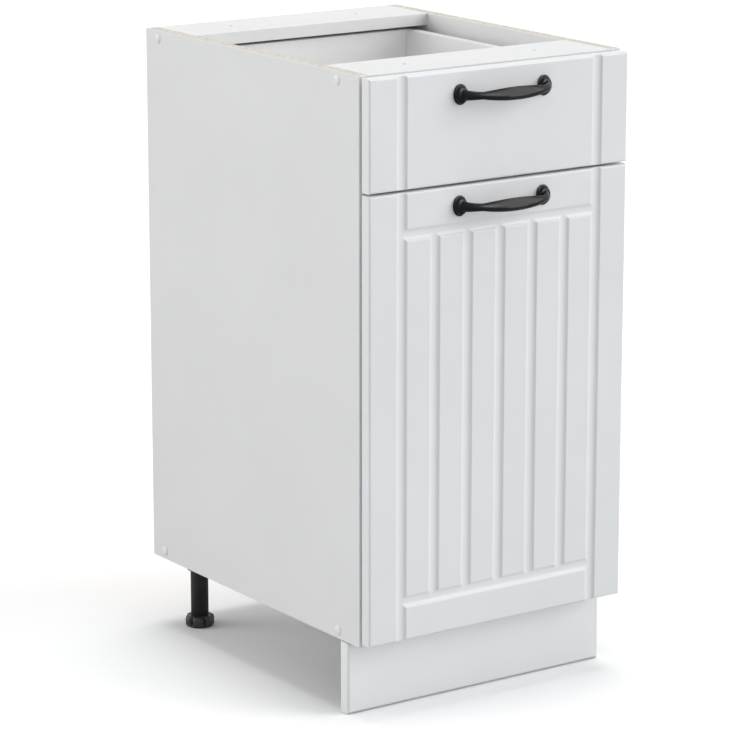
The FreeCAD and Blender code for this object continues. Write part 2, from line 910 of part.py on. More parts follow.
def axle(start, direction, shoulder):
    # A riveted axle: its end in the steel web, a shoulder, the roller's seat and a head.
    seat = x_roller_end - x_roller + 2 * axle_end_play
    steps = (
        (axle_radius, steel),
        (axle_head_radius, shoulder),
        (axle_radius, seat),
        (axle_head_radius, axle_head),
    )
    return lathe(start, direction, steps)


def cabinet_axle():
    start = Vector(inner_half, y_cabinet_roller, z_roller)
    return axle(start, -AXIS_X, x_web - x_roller_end - axle_end_play)


def drawer_axle():
    start = Vector(drawer_outer, y_drawer_roller, z_roller)
    return axle(start, AXIS_X, x_roller - drawer_outer - steel - axle_end_play)


def runner_screws():
    screws = []
    for row in runner_screw_rows():
        start = Vector(x_web - thin_head, y_runner + row, z_roller)
        steps = ((runner_screw_head_radius, thin_head), (runner_screw_radius, steel + runner_screw_bite))
        screws.append(lathe(start, AXIS_X, steps))
    return screws


def box_screws():
    screws = []
    for row in runner_screw_rows():
        start = Vector(drawer_outer + steel + thin_head, y_drawer_runner + row, z_roller)
        steps = ((drawer_screw_head_small, thin_head), (box_screw_radius, steel + box_screw_bite))
        screws.append(lathe(start, -AXIS_X, steps))
    return screws


# Cup hinges

def hinge_cup(level):
    mouth = Vector(x_cup, y_front_back, level)
    cup = rod(hinge_cup_radius, hinge_cup_depth, mouth, -AXIS_Y)
    disc = rod(hinge_flange_radius, hinge_flange, mouth, AXIS_Y)
    wing = rounded_plate(hinge_wing_width, hinge_wing_height, hinge_flange, hinge_wing_corner)
    wing_middle = Vector(x_cup - cup_screw_offset, y_front_back + hinge_flange, level)
    wing.Placement = FreeCAD.Placement(wing_middle, FreeCAD.Rotation(AXIS_X, QUARTER_TURN))
    shell = cup.fuse([disc, wing]).removeSplitter()
    lip = mouth + AXIS_Y * hinge_flange
    inside = rod(
        hinge_cup_radius - hinge_cup_wall, hinge_flange + hinge_cup_depth - hinge_cup_wall, lip, -AXIS_Y
    )
    floor_y = y_front_back - hinge_cup_depth + 2 * hinge_cup_wall
    boss_start = Vector(x_pivot, y_pivot, level - hinge_pin_half)
    boss = rod(hinge_boss_radius, 2 * hinge_pin_half, boss_start, AXIS_Z).common(cup)
    notch = block(
        x_pivot - hinge_boss_radius,
        x_cup + hinge_flange_radius,
        floor_y,
        y_front_back + hinge_flange,
        level - hinge_notch_half,
        level + hinge_notch_half,
    )
    hollow = shell.cut(inside).fuse(boss).removeSplitter()
    return hollow.cut([notch, hinge_pin(level)] + cup_screws(level))


def hinge_pin(level):
    start = Vector(x_pivot, y_pivot, level - hinge_pin_half)
    return rod(hinge_pin_radius, 2 * hinge_pin_half, start, AXIS_Z)


def cup_screws(level):
    screws = []
    for side in (-1, 1):
        z = level + side * cup_screw_spacing / 2
        start = Vector(x_cup - cup_screw_offset, y_front_back + hinge_flange + thin_head, z)
        steps = ((cup_screw_head_radius, thin_head), (cup_screw_radius, hinge_flange + cup_screw_bite))
        screws.append(lathe(start, -AXIS_Y, steps))
    return screws


def cup_screw_group():
    return cup_screws(hinge_levels[0]) + cup_screws(hinge_levels[1])


def hinge_neck(level):
    # The bent strip that leaves the cup, seen in plan: along X to the pin, then along Y into the cupboard.
    half = hinge_strip / 2
    low = level - hinge_neck_half
    bend_x = x_arm + hinge_bend
    bend_y = y_pivot + hinge_bend
    turn = math.radians(QUARTER_TURN / 2)
    tail = y_carcass + hinge_arm_start
    inner = hinge_bend - half
    outer = hinge_bend + half

    def on_bend(radius):
        return Vector(bend_x - radius * math.cos(turn), bend_y - radius * math.sin(turn), low)

    edges = [
        Part.makeLine(Vector(x_pivot, y_pivot + half, low), Vector(bend_x, y_pivot + half, low)),
        Part.Arc(
            Vector(bend_x, y_pivot + half, low), on_bend(inner), Vector(x_arm + half, bend_y, low)
        ).toShape(),
        Part.makeLine(Vector(x_arm + half, bend_y, low), Vector(x_arm + half, tail, low)),
        Part.makeLine(Vector(x_arm + half, tail, low), Vector(x_arm - half, tail, low)),
        Part.makeLine(Vector(x_arm - half, tail, low), Vector(x_arm - half, bend_y, low)),
        Part.Arc(
            Vector(x_arm - half, bend_y, low), on_bend(outer), Vector(bend_x, y_pivot - half, low)
        ).toShape(),
        Part.makeLine(Vector(bend_x, y_pivot - half, low), Vector(x_pivot, y_pivot - half, low)),
        Part.makeLine(Vector(x_pivot, y_pivot - half, low), Vector(x_pivot, y_pivot + half, low)),
    ]
    strip = Part.Face(Part.Wire(edges)).extrude(AXIS_Z * 2 * hinge_neck_half)
    knuckle = rod(hinge_knuckle_radius, 2 * hinge_neck_half, Vector(x_pivot, y_pivot, low), AXIS_Z)
    return strip.fuse(knuckle).removeSplitter()


def hinge_arm(level):
    half = hinge_strip / 2
    low = level - hinge_arm_half
    high = level + hinge_arm_half
    y0 = y_carcass + hinge_arm_start
    y1 = y_carcass + hinge_arm_end
    web = block(x_arm - half, x_arm + half, y0, y1, low, high)
    ribs = []
    for rib_low in (low, high - hinge_arm_rib):
        rib_end = inner_half - edge_ease
        ribs.append(block(x_arm - half, rib_end, y0, y1, rib_low, rib_low + hinge_arm_rib))
    arm = web.fuse(ribs + [hinge_neck(level)]).removeSplitter()
    low_pin = Vector(x_pivot, y_pivot, low)
    pin_bore = rod(hinge_pin_radius + hinge_pin_fit, 2 * hinge_arm_half, low_pin, AXIS_Z)
    return arm.cut([pin_bore, arm_screw(level)])


def hinge_plate(level):
    top = x_arm + hinge_strip / 2
    half = hinge_arm_half - hinge_arm_rib - hinge_arm_rib_play
    y0 = y_carcass + hinge_plate_start
    y1 = y_carcass + hinge_plate_end
    spine = block(top, inner_half, y0, y1, level - half, level + half)
    wing = rounded_plate(
        hinge_plate_wing_height, hinge_plate_wing_width, hinge_plate_wing, hinge_plate_corner
    )
    wing_face = inner_half - hinge_plate_wing
    wing_middle = Vector(wing_face, y_carcass + hinge_plate_row, level)
    wing.Placement = FreeCAD.Placement(wing_middle, FreeCAD.Rotation(AXIS_Y, QUARTER_TURN))
    rib_room = []
    for side in (-1, 1):
        middle = level + side * (half + (hinge_arm_rib + hinge_arm_rib_play) / 2 + hinge_arm_rib_play / 2)
        reach = hinge_arm_rib / 2 + hinge_arm_rib_play
        rib_room.append(block(wing_face, inner_half - edge_ease, y0, y1, middle - reach, middle + reach))
    plate = wing.cut(rib_room).fuse(spine).removeSplitter()
    return plate.cut(plate_screw_bores() + [arm_screw(level)])


def plate_screws(level):
    screws = []
    for side in (-1, 1):
        z = level + side * plate_screw_spacing / 2
        x = inner_half - hinge_plate_wing - thin_head
        start = Vector(x, y_carcass + hinge_plate_row, z)
        steps = (
            (plate_screw_head_radius, thin_head),
            (plate_screw_radius, hinge_plate_wing + plate_screw_bite),
        )
        screws.append(lathe(start, AXIS_X, steps))
    return screws


def arm_screw(level):
    x = x_arm - hinge_strip / 2 - arm_screw_head
    start = Vector(x, y_carcass + arm_screw_row, level)
    shank = inner_half - arm_screw_tip - x - arm_screw_head
    return lathe(start, AXIS_X, ((arm_screw_head_radius, arm_screw_head), (arm_screw_radius, shank)))


def door_bumpers():
    pieces = []
    for z in (z_door_bottom + bumper_inset_z, z_door_top - bumper_inset_z):
        start = Vector(bumper_inset_x - half_width, y_front_back, z)
        pad = rod(bumper_radius, front_gap - bumper_play, start, AXIS_Y)
        past_base = y_front_back + bumper_play
        rim = [edge for edge in pad.Edges if edge.isClosed() and edge.BoundBox.YMin > past_base]
        pieces.append(pad.makeFillet(bumper_round, rim))
    return Part.makeCompound(pieces)


def build():
    plate_bores = plate_screw_bores()
    nodes = {
        "left_side_panel": mirrored(side_panel([])),
        "right_side_panel": side_panel(plate_bores),
        "bottom_panel": bottom_panel(),
        "front_top_rail": worktop_rail(y_carcass),
        "rear_top_rail": worktop_rail(y_sheet - rail_depth),
        "back_panel": back_panel(),
        "back_panel_nails": Part.makeCompound(nail_group()),
        "shelf": shelf_panel(),
        "plinth_panel": plinth_panel(),
        "drawer_front": drawer_front(),
        "drawer_back": drawer_back(),
        "drawer_bottom": drawer_bottom(),
        "door_panel": door_panel(),
        "door_bumpers": door_bumpers(),
        "leg_screws": Part.makeCompound(leg_screw_group()),
        "hinge_cup_screws": Part.makeCompound(cup_screw_group()),
    }
    pairs = {
        "shelf_pins": [shelf_pin(y_carcass + pin_row_front), shelf_pin(y_sheet - pin_row_rear)],
        "carcass_screws": [carcass_screw(y, z) for y in screw_rows for z in screw_levels],
        "screw_caps": [screw_cap(y, z) for y in screw_rows for z in screw_levels],
        "carcass_dowels": [dowel(y, z) for y, z in dowel_places],
        "plinth_clips": [plinth_clip()],
        "plinth_clip_screws": clip_screws(),
        "drawer_screws": drawer_screws(),
        "drawer_cams": cams(),
        "drawer_cam_bolts": cam_bolts(),
        "drawer_runner_screws": box_screws(),
        "cabinet_roller_axles": [cabinet_axle()],
        "drawer_roller_axles": [drawer_axle()],
    }
    for name, right_pieces in pairs.items():
        nodes[name] = both_sides(right_pieces)
    handed = {
        "drawer_{}_side": drawer_side(),
        "{}_cabinet_runner": cabinet_runner(),
        "{}_drawer_runner": drawer_runner(),
        "{}_cabinet_roller": roller(y_cabinet_roller),
        "{}_drawer_roller": roller(y_drawer_roller),
        "front_{}_leg": leg(front_leg),
        "rear_{}_leg": leg(rear_leg),
        "front_{}_foot": foot(front_leg),
        "rear_{}_foot": foot(rear_leg),
    }
    for name, right_piece in handed.items():
        nodes[name.format("right")] = right_piece
        nodes[name.format("left")] = mirrored(right_piece)
    for front, z in handle_levels.items():
        nodes[front + "_handle"] = bow_handle(z)
        nodes[front + "_handle_screws"] = handle_screws(z)
    for place, level in zip(("lower", "upper"), hinge_levels):
        nodes[place + "_hinge_cup"] = hinge_cup(level)
        nodes[place + "_hinge_arm"] = hinge_arm(level)
        nodes[place + "_hinge_plate"] = hinge_plate(level)
    nodes["hinge_pins"] = Part.makeCompound([hinge_pin(level) for level in hinge_levels])
    nodes["hinge_arm_screws"] = Part.makeCompound([arm_screw(level) for level in hinge_levels])
    euro = runner_screws() + [mirrored(screw) for screw in runner_screws()]
    for level in hinge_levels:
        euro += plate_screws(level)
    nodes["euro_screws"] = Part.makeCompound(euro)
    return nodes


os.makedirs("parts", exist_ok=True)
for node_name, node_shape in build().items():
    node_shape.exportStep("parts/" + node_name + ".step")
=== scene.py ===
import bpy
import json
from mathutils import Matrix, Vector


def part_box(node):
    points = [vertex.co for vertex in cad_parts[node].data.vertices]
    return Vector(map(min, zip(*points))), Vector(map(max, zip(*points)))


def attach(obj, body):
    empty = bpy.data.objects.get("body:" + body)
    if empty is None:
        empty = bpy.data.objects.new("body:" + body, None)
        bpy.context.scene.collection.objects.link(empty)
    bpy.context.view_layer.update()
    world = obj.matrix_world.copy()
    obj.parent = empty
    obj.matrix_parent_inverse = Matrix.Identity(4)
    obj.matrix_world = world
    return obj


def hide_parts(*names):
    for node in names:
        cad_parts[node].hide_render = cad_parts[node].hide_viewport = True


bl_info = {
    "name": "Kitchen base cabinet",
    "version": (1, 0, 0),
    "blender": (4, 5, 0),
    "location": "View3D > Sidebar > Cabinet",
    "description": "Dresses the packed base cabinet with its fronts, handles, fittings and finishes",
    "category": "Object",
}

import json
import math

import bmesh
import bpy
from bpy.props import FloatProperty, FloatVectorProperty, IntProperty, PointerProperty
from bpy.types import Operator, Panel, PropertyGroup
from mathutils import Matrix, Vector

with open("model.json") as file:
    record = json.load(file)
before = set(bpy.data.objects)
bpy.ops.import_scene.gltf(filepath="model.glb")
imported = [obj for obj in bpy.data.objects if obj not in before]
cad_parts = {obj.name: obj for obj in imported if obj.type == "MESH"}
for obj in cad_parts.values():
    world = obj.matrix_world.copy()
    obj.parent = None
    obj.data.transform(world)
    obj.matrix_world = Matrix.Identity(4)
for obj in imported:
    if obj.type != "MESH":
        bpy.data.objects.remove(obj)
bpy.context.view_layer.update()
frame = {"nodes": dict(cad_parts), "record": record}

MM = 0.001
SHARP_ANGLE = math.radians(32)
FULL_TURN = 2 * math.pi
SLOT_OF = {row["node"]: row["material_slot"] for row in frame["record"]["subparts"]}
BODY_OF = {
    node: body for body, members in frame["record"]["behaviour"]["bodies"].items() for node in members
}


# Sizes and colours that a user would change


def length(name, description, millimetres):
    return FloatProperty(
        name=name, description=description, default=millimetres * MM, precision=4, unit="LENGTH"
    )


def tint(name, description, colour):
    return FloatVectorProperty(
        name=name, description=description, default=(*colour, 1.0), size=4, min=0.0, max=1.0,
        subtype="COLOR"
    )


def turn_angle(name, description, degrees):
    return FloatProperty(
        name=name, description=description, default=math.radians(degrees), subtype="ANGLE", unit="ROTATION"
    )


def number(name, description, value, least=0.0):
    return FloatProperty(name=name, description=description, default=value, min=least)


def count(name, description, value, least):
    return IntProperty(name=name, description=description, default=value, min=least)


class FrontSizes(PropertyGroup):
    """Sizes of the grooved drawer front and door"""

    cove_width: length("Cove width", "Width of a routed cove between its shoulders", 15.0)
    cove_depth: length("Cove depth", "Depth of a routed cove at its middle", 3.0)
    cove_shoulder: length("Cove shoulder", "How far the foil softens a cove's two shoulders", 0.35)
    cove_power: number("Cove flatness", "How flat a cove's floor is; 2 is a plain bow", 3.2, least=2.0)
    cove_pitch: length("Cove pitch", "Distance between the door's upright coves", 49.8)
    cove_count: count("Upright coves", "Upright coves in the door", 7, least=2)
    upper_cross: length("Upper cross cove", "Drop of the upper cross cove below the door's top", 53.0)
    lower_cross: length("Lower cross cove", "Rise of the lower cross cove above the door's bottom", 50.0)
    edge_round: length("Edge rounding", "Radius of the front's outer edges", 3.0)
    plinth_round: length("Plinth rounding", "Radius of the plinth's outer edges", 4.5)
    cup_x: length("Hinge bores", "Middle of the hinge cups, right of the cabinet's middle", 177.5)
    cup_radius: length("Hinge bore radius", "Radius of a hinge cup's bore in the door", 17.6)
    cup_depth: length("Hinge bore depth", "Depth of a hinge cup's bore in the door", 12.1)


class HandleSizes(PropertyGroup):
    """Sizes of the cast bow handles"""

    centres: length("Hole centres", "Distance between the handle's two screws", 128.0)
    reach: length("Reach", "Distance from the front to the middle of the grip", 31.0)
    grip_height: length("Grip height", "Height of the grip in the middle of the bow", 16.8)
    grip_depth: length("Grip depth", "Thickness of the grip in the middle of the bow", 9.0)
    neck_height: length("Neck height", "Height of the bow where it leaves a rosette", 13.5)
    neck_depth: length("Neck depth", "Thickness of the bow where it leaves a rosette", 8.0)
    rosette_width: length("Rosette width", "Width of the oval foot plate", 20.0)
    rosette_height: length("Rosette height", "Height of the oval foot plate", 26.0)
    leaf: length("Leaf length", "Distance from the middle of the grip to its pointed ends", 47.0)
    waist: length("Waist height", "Height of the bow where the neck meets the grip", 8.8)
    squareness: number("Squareness", "How square the bow's corners are; 2 is an ellipse", 2.5, least=2.0)


class FootSizes(PropertyGroup):
    """Sizes of the levelling feet"""

    radius: length("Foot radius", "Radius of the foot over its lobes", 19.5)
    height: length("Foot height", "Height of the foot up to the leg's tube", 15.0)
    notch: length("Notch depth", "Depth of the finger notches between the lobes", 5.0)
    lobes: count("Lobes", "Lobes round the foot", 6, least=3)
    first_notch: turn_angle("First notch", "Turn of the first notch on a right-hand foot", 41)
    stem: length("Stem radius", "Radius of the threaded stem over its thread", 8.2)
    thread: length("Thread depth", "Depth of the stem's thread", 0.9)


class Finishes(PropertyGroup):
    """Colours of the cabinet's finishes"""

    board: tint("Board white", "Melamine face of the carcass boards", (0.776, 0.776, 0.776))
    # Drawer white is painted lighter than the board white. This is painted light for the drawer box, which
    # lies in shade inside the cabinet.
    drawer: tint("Drawer white", "Melamine face of the drawer box", (0.84, 0.84, 0.835))
    front: tint("Front white", "Foil of the drawer front and the door", (0.799, 0.815, 0.830))
    # Plinth white is painted lighter than the front white. This is painted light that offsets the shade
    # under the door's overhang.
    plinth: tint("Plinth white", "Foil of the plinth panel", (0.868, 0.882, 0.893))
    chipboard: tint("Chipboard", "Bare chipboard on the sawn edges", (0.745, 0.70, 0.625))
    hardboard: tint("Hardboard", "Bare side of the thin sheets", (0.36, 0.22, 0.12))
    cast_black: tint("Cast black", "Lacquer of the bow handles", (0.005, 0.005, 0.006))
    leg_black: tint("Leg black", "Moulded plastic of the legs and feet", (0.034, 0.034, 0.035))
    zinc: tint("Zinc", "Plating of the screws and hinges", (0.64, 0.65, 0.67))
    runner_white: tint("Runner white", "Powder coat of the drawer runners", (0.78, 0.78, 0.765))
    nylon: tint("Nylon", "Rollers of the drawer runners", (0.80, 0.80, 0.76))
    cap_white: tint("Cap white", "Screw caps on the side panels", (0.80, 0.80, 0.795))
    beech: tint("Beech", "Dowels", (0.60, 0.42, 0.25))
    bumper: tint("Bumper", "Soft pads behind the door", (0.78, 0.79, 0.79))


class Studio(PropertyGroup):
    """Camera and lamps"""

    yaw: turn_angle("Camera turn", "Turn of the view from straight ahead", 34.612)
    pitch: turn_angle("Camera tilt", "How far the camera looks down", 13.8)
    place: FloatVectorProperty(
        name="Camera place", description="Where the camera stands", default=(-2.5311, -3.6169, 1.4680),
        size=3, subtype="XYZ", unit="LENGTH"
    )
    lens: number("Lens", "Focal length in millimetres", 169.7, least=1.0)
    overhead: number("Overhead lamp", "Strength of the large lamp above", 1.02)
    right: number("Right lamp", "Strength of the lamp in front on the right", 1.63)
    left: number("Left lamp", "Strength of the lamp behind on the left", 1.58)
    card: number("Handle card", "Strength of the card that shows in gloss alone, most in the handles", 3.4)
    sky: number("Sky", "Strength of the light from all round", 0.50)


# Node groups that more than one finish uses


def new_group(name, inputs, outputs):
    group = bpy.data.node_groups.new(name, "ShaderNodeTree")
    for label, kind, default in inputs:
        socket = group.interface.new_socket(label, in_out="INPUT", socket_type=kind)
        if default is not None:
            socket.default_value = default
    for label, kind in outputs:
        group.interface.new_socket(label, in_out="OUTPUT", socket_type=kind)
    start = group.nodes.new("NodeGroupInput")
    end = group.nodes.new("NodeGroupOutput")
    return group, start, end


def empty_tree(owner):
    owner.use_nodes = True
    owner.node_tree.nodes.clear()
    return owner.node_tree


def add_node(tree, kind, values=None, **settings):
    node = tree.nodes.new(kind)
    for key, value in settings.items():
        setattr(node, key, value)
    for key, value in (values or {}).items():
        node.inputs[key].default_value = value
    return node


def wire(tree, source, target):
    tree.links.new(source, target)


def drift_group():
    """Two close tones that wander slowly into each other"""
    group, start, end = new_group(
        "Tone drift",
        [
            ("Vector", "NodeSocketVector", None),
            ("Light", "NodeSocketColor", (0.8, 0.8, 0.8, 1.0)),
            ("Dark", "NodeSocketColor", (0.75, 0.75, 0.75, 1.0)),
            ("Scale", "NodeSocketFloat", 6.0),
        ],
        [("Color", "NodeSocketColor")],
    )
    broad = add_node(group, "ShaderNodeTexNoise", {"Detail": 3.0, "Roughness": 0.55})
    span = add_node(
        group, "ShaderNodeMapRange", {"From Min": 0.32, "From Max": 0.68}, interpolation_type="SMOOTHSTEP"
    )
    blend = add_node(group, "ShaderNodeMix", data_type="RGBA")
    wire(group, start.outputs["Vector"], broad.inputs["Vector"])
    wire(group, start.outputs["Scale"], broad.inputs["Scale"])
    wire(group, broad.outputs["Fac"], span.inputs["Value"])
    wire(group, span.outputs["Result"], blend.inputs["Factor"])
    wire(group, start.outputs["Light"], blend.inputs["A"])
    wire(group, start.outputs["Dark"], blend.inputs["B"])
    wire(group, blend.outputs["Result"], end.inputs["Color"])


def grain_group():
    """Fine relief: a dense pebble grain over a softer swell, as a height and as a spread of gloss"""
    group, start, end = new_group(
        "Surface grain",
        [
            ("Vector", "NodeSocketVector", None),
            ("Fine Scale", "NodeSocketFloat", 1400.0),
            ("Swell Scale", "NodeSocketFloat", 60.0),
            ("Swell Share", "NodeSocketFloat", 0.3),
            ("Gloss Low", "NodeSocketFloat", 0.35),
            ("Gloss High", "NodeSocketFloat", 0.45),
        ],
        [("Height", "NodeSocketFloat"), ("Roughness", "NodeSocketFloat")],
    )
    fine = add_node(group, "ShaderNodeTexNoise", {"Detail": 2.0, "Roughness": 0.5})
    swell = add_node(group, "ShaderNodeTexNoise", {"Detail": 2.0, "Roughness": 0.4})
    height = add_node(group, "ShaderNodeMix", data_type="FLOAT")
    gloss = add_node(group, "ShaderNodeMapRange", {"From Min": 0.3, "From Max": 0.7})
    for noise, scale in ((fine, "Fine Scale"), (swell, "Swell Scale")):
        wire(group, start.outputs["Vector"], noise.inputs["Vector"])
        wire(group, start.outputs[scale], noise.inputs["Scale"])
    wire(group, start.outputs["Swell Share"], height.inputs["Factor"])
    wire(group, fine.outputs["Fac"], height.inputs["A"])
    wire(group, swell.outputs["Fac"], height.inputs["B"])
    wire(group, swell.outputs["Fac"], gloss.inputs["Value"])
    wire(group, start.outputs["Gloss Low"], gloss.inputs["To Min"])
    wire(group, start.outputs["Gloss High"], gloss.inputs["To Max"])
    wire(group, height.outputs["Result"], end.inputs["Height"])
    wire(group, gloss.outputs["Result"], end.inputs["Roughness"])


def chip_group():
    """Sawn chipboard: flat wood chips of several tones, with dark gaps between some of them"""
    group, start, end = new_group(
        "Sawn chipboard",
        [
            ("Vector", "NodeSocketVector", None),
            ("Chip", "NodeSocketColor", (0.74, 0.67, 0.56, 1.0)),
            ("Scale", "NodeSocketFloat", 420.0),
        ],
        [("Color", "NodeSocketColor"), ("Height", "NodeSocketFloat")],
    )
    chips = add_node(group, "ShaderNodeTexVoronoi", {"Randomness": 1.0})
    cracks = add_node(group, "ShaderNodeTexVoronoi", {"Randomness": 1.0}, feature="DISTANCE_TO_EDGE")
    parts = add_node(group, "ShaderNodeSeparateColor")
    tone = add_node(group, "ShaderNodeMapRange", {"To Min": 0.74, "To Max": 1.12})
    toned = add_node(group, "ShaderNodeVectorMath", operation="SCALE")
    gap = add_node(group, "ShaderNodeMapRange", {"From Max": 0.10, "To Min": 0.62, "To Max": 1.0})
    gapped = add_node(group, "ShaderNodeVectorMath", operation="SCALE")
    for voronoi in (chips, cracks):
        wire(group, start.outputs["Vector"], voronoi.inputs["Vector"])
        wire(group, start.outputs["Scale"], voronoi.inputs["Scale"])
    wire(group, chips.outputs["Color"], parts.inputs["Color"])
    wire(group, parts.outputs["Red"], tone.inputs["Value"])
    wire(group, start.outputs["Chip"], toned.inputs[0])
    wire(group, tone.outputs["Result"], toned.inputs["Scale"])
    wire(group, cracks.outputs["Distance"], gap.inputs["Value"])
    wire(group, toned.outputs["Vector"], gapped.inputs[0])
    wire(group, gap.outputs["Result"], gapped.inputs["Scale"])
    wire(group, gapped.outputs["Vector"], end.inputs["Color"])
    wire(group, gap.outputs["Result"], end.inputs["Height"])


def facing_group():
    """How squarely a surface faces along one of its object's axes, as a mask"""
    group, start, end = new_group(
        "Facing",
        [("Normal", "NodeSocketVector", None), ("Axis", "NodeSocketVector", (0.0, 0.0, 1.0))],
        [("Mask", "NodeSocketFloat")],
    )
    along = add_node(group, "ShaderNodeVectorMath", operation="DOT_PRODUCT")
    mask = add_node(group, "ShaderNodeMapRange", {"From Min": 0.78, "From Max": 0.82})
    wire(group, start.outputs["Normal"], along.inputs[0])
    wire(group, start.outputs["Axis"], along.inputs[1])
    wire(group, along.outputs["Value"], mask.inputs["Value"])
    wire(group, mask.outputs["Result"], end.inputs["Mask"])


# Finishes


class Finish:
    """One material under way: its tree, its shader and the coordinates that its patterns read"""

    def __init__(self, name, shader_values=None):
        self.tree = empty_tree(bpy.data.materials.new(name))
        output = add_node(self.tree, "ShaderNodeOutputMaterial")
        self.shader = add_node(self.tree, "ShaderNodeBsdfPrincipled", shader_values)
        wire(self.tree, self.shader.outputs["BSDF"], output.inputs["Surface"])
        self.coords = add_node(self.tree, "ShaderNodeTexCoord")

    def group(self, name, values):
        node = add_node(self.tree, "ShaderNodeGroup", values, node_tree=bpy.data.node_groups[name])
        for source, target in (("Object", "Vector"), ("Normal", "Normal")):
            if target in node.inputs:
                wire(self.tree, self.coords.outputs[source], node.inputs[target])
        return node

    def drift(self, colour, darker, scale):
        shade = tuple(channel * darker for channel in colour[:3])
        return self.group("Tone drift", {"Light": tuple(colour), "Dark": (*shade, 1.0), "Scale": scale})

    def colour(self, socket):
        wire(self.tree, socket, self.shader.inputs["Base Color"])

    def roughness(self, socket):
        wire(self.tree, socket, self.shader.inputs["Roughness"])

    def mix_colour(self, mask, under, over):
        blend = add_node(self.tree, "ShaderNodeMix", data_type="RGBA")
        wire(self.tree, mask, blend.inputs["Factor"])
        wire(self.tree, under, blend.inputs["A"])
        wire(self.tree, over, blend.inputs["B"])
        return blend.outputs["Result"]

    def mix_value(self, mask, under, over):
        blend = add_node(self.tree, "ShaderNodeMix", data_type="FLOAT")
        wire(self.tree, mask, blend.inputs["Factor"])
        wire(self.tree, under, blend.inputs["A"])
        if isinstance(over, float):
            blend.inputs["B"].default_value = over
        else:
            wire(self.tree, over, blend.inputs["B"])
        return blend.outputs["Result"]

    def bump(self, socket, distance):
        relief = add_node(self.tree, "ShaderNodeBump", {"Distance": distance, "Strength": 1.0})
        wire(self.tree, socket, relief.inputs["Height"])
        wire(self.tree, relief.outputs["Normal"], self.shader.inputs["Normal"])


MELAMINE_GRAIN = {
    "Fine Scale": 1500.0, "Swell Scale": 45.0, "Swell Share": 0.25, "Gloss Low": 0.36, "Gloss High": 0.46
}
FOIL_GRAIN = {
    "Fine Scale": 900.0, "Swell Scale": 28.0, "Swell Share": 0.45, "Gloss Low": 0.33, "Gloss High": 0.42
}
CAST_GRAIN = {
    "Fine Scale": 1100.0, "Swell Scale": 260.0, "Swell Share": 0.55, "Gloss Low": 0.28, "Gloss High": 0.42
}
MOULDED_GRAIN = {
    "Fine Scale": 2400.0, "Swell Scale": 90.0, "Swell Share": 0.2, "Gloss Low": 0.42, "Gloss High": 0.55
}
PLATED_GRAIN = {
    "Fine Scale": 1800.0, "Swell Scale": 150.0, "Swell Share": 0.5, "Gloss Low": 0.22, "Gloss High": 0.36
}
POWDER_GRAIN = {
    "Fine Scale": 800.0, "Swell Scale": 120.0, "Swell Share": 0.4, "Gloss Low": 0.30, "Gloss High": 0.40
}
DULL_GLOSS = {"Specular IOR Level": 0.20}
METAL = {"Metallic": 1.0}
MELAMINE_SHADE = 0.975
MELAMINE_DRIFT = 5.0
# Roughness of bare board, and relief of bare board and wood
BARE_ROUGHNESS = 0.85
BARE_RELIEF = 0.05 * MM
UP, DOWN, REARWARD = (0, 0, 1), (0, 0, -1), (0, 1, 0)

# Finish, its tint, the share of its darker tone, the drift's scale, its grain, relief in mm, other values
PLAIN_FINISHES = (
    ("white_melamine", "board", MELAMINE_SHADE, MELAMINE_DRIFT, MELAMINE_GRAIN, 0.03, {}),
    # The drawer's melamine is a lighter copy of the board's melamine, as painted light inside the drawer.
    ("drawer_melamine", "drawer", MELAMINE_SHADE, MELAMINE_DRIFT, MELAMINE_GRAIN, 0.03, {}),
    ("satin_foil", "front", 0.98, 4.0, FOIL_GRAIN, 0.05, {}),
    # The plinth's foil is a lighter copy of the fronts' foil, as painted light against the shade under the
    # door.
    ("plinth_foil", "plinth", 0.98, 4.0, FOIL_GRAIN, 0.05, {}),
    ("cast_lacquer", "cast_black", 0.72, 90.0, CAST_GRAIN, 0.10, DULL_GLOSS),
    ("moulded_black", "leg_black", 0.80, 60.0, MOULDED_GRAIN, 0.04, {}),
    ("bright_zinc", "zinc", 0.86, 120.0, PLATED_GRAIN, 0.02, METAL),
    ("powder_coat", "runner_white", 0.97, 20.0, POWDER_GRAIN, 0.05, {}),
    ("nylon", "nylon", 0.95, 150.0, MOULDED_GRAIN, 0.02, {}),
    ("cap_plastic", "cap_white", 0.97, 150.0, MOULDED_GRAIN, 0.015, {}),
    ("soft_pad", "bumper", 0.95, 200.0, MOULDED_GRAIN, 0.02, {}),
)

# Finish, the tint of its faces and of its bare board, the ways that the bare board faces, the chips' scale
BARE_FINISHES = (
    ("sawn_melamine", "board", "chipboard", (UP, DOWN), 420.0),
    ("back_hardboard", "board", "hardboard", (REARWARD,), 900.0),
    ("tray_hardboard", "drawer", "hardboard", (DOWN,), 900.0),
)


def plain_finish(name, colour, darker, drift_scale, grain, relief, shader_values):
    """A finish of one drifting tone with a fine grain"""
    finish = Finish(name, shader_values)
    finish.colour(finish.drift(colour, darker, drift_scale).outputs["Color"])
    surface = finish.group("Surface grain", grain)
    finish.roughness(surface.outputs["Roughness"])
    finish.bump(surface.outputs["Height"], relief * MM)


def bare_finish(name, face, bare, axes, chip_scale):
    """A white-faced board whose surfaces along some axes are bare board"""
    finish = Finish(name)
    chips = finish.group("Sawn chipboard", {"Chip": tuple(bare), "Scale": chip_scale})
    surface = finish.group("Surface grain", MELAMINE_GRAIN)
    colour = finish.drift(face, MELAMINE_SHADE, MELAMINE_DRIFT).outputs["Color"]
    roughness = surface.outputs["Roughness"]
    height = surface.outputs["Height"]
    for axis in axes:
        mask = finish.group("Facing", {"Axis": axis}).outputs["Mask"]
        colour = finish.mix_colour(mask, colour, chips.outputs["Color"])
        roughness = finish.mix_value(mask, roughness, BARE_ROUGHNESS)
        height = finish.mix_value(mask, height, chips.outputs["Height"])
    finish.colour(colour)
    finish.roughness(roughness)
    finish.bump(height, BARE_RELIEF)


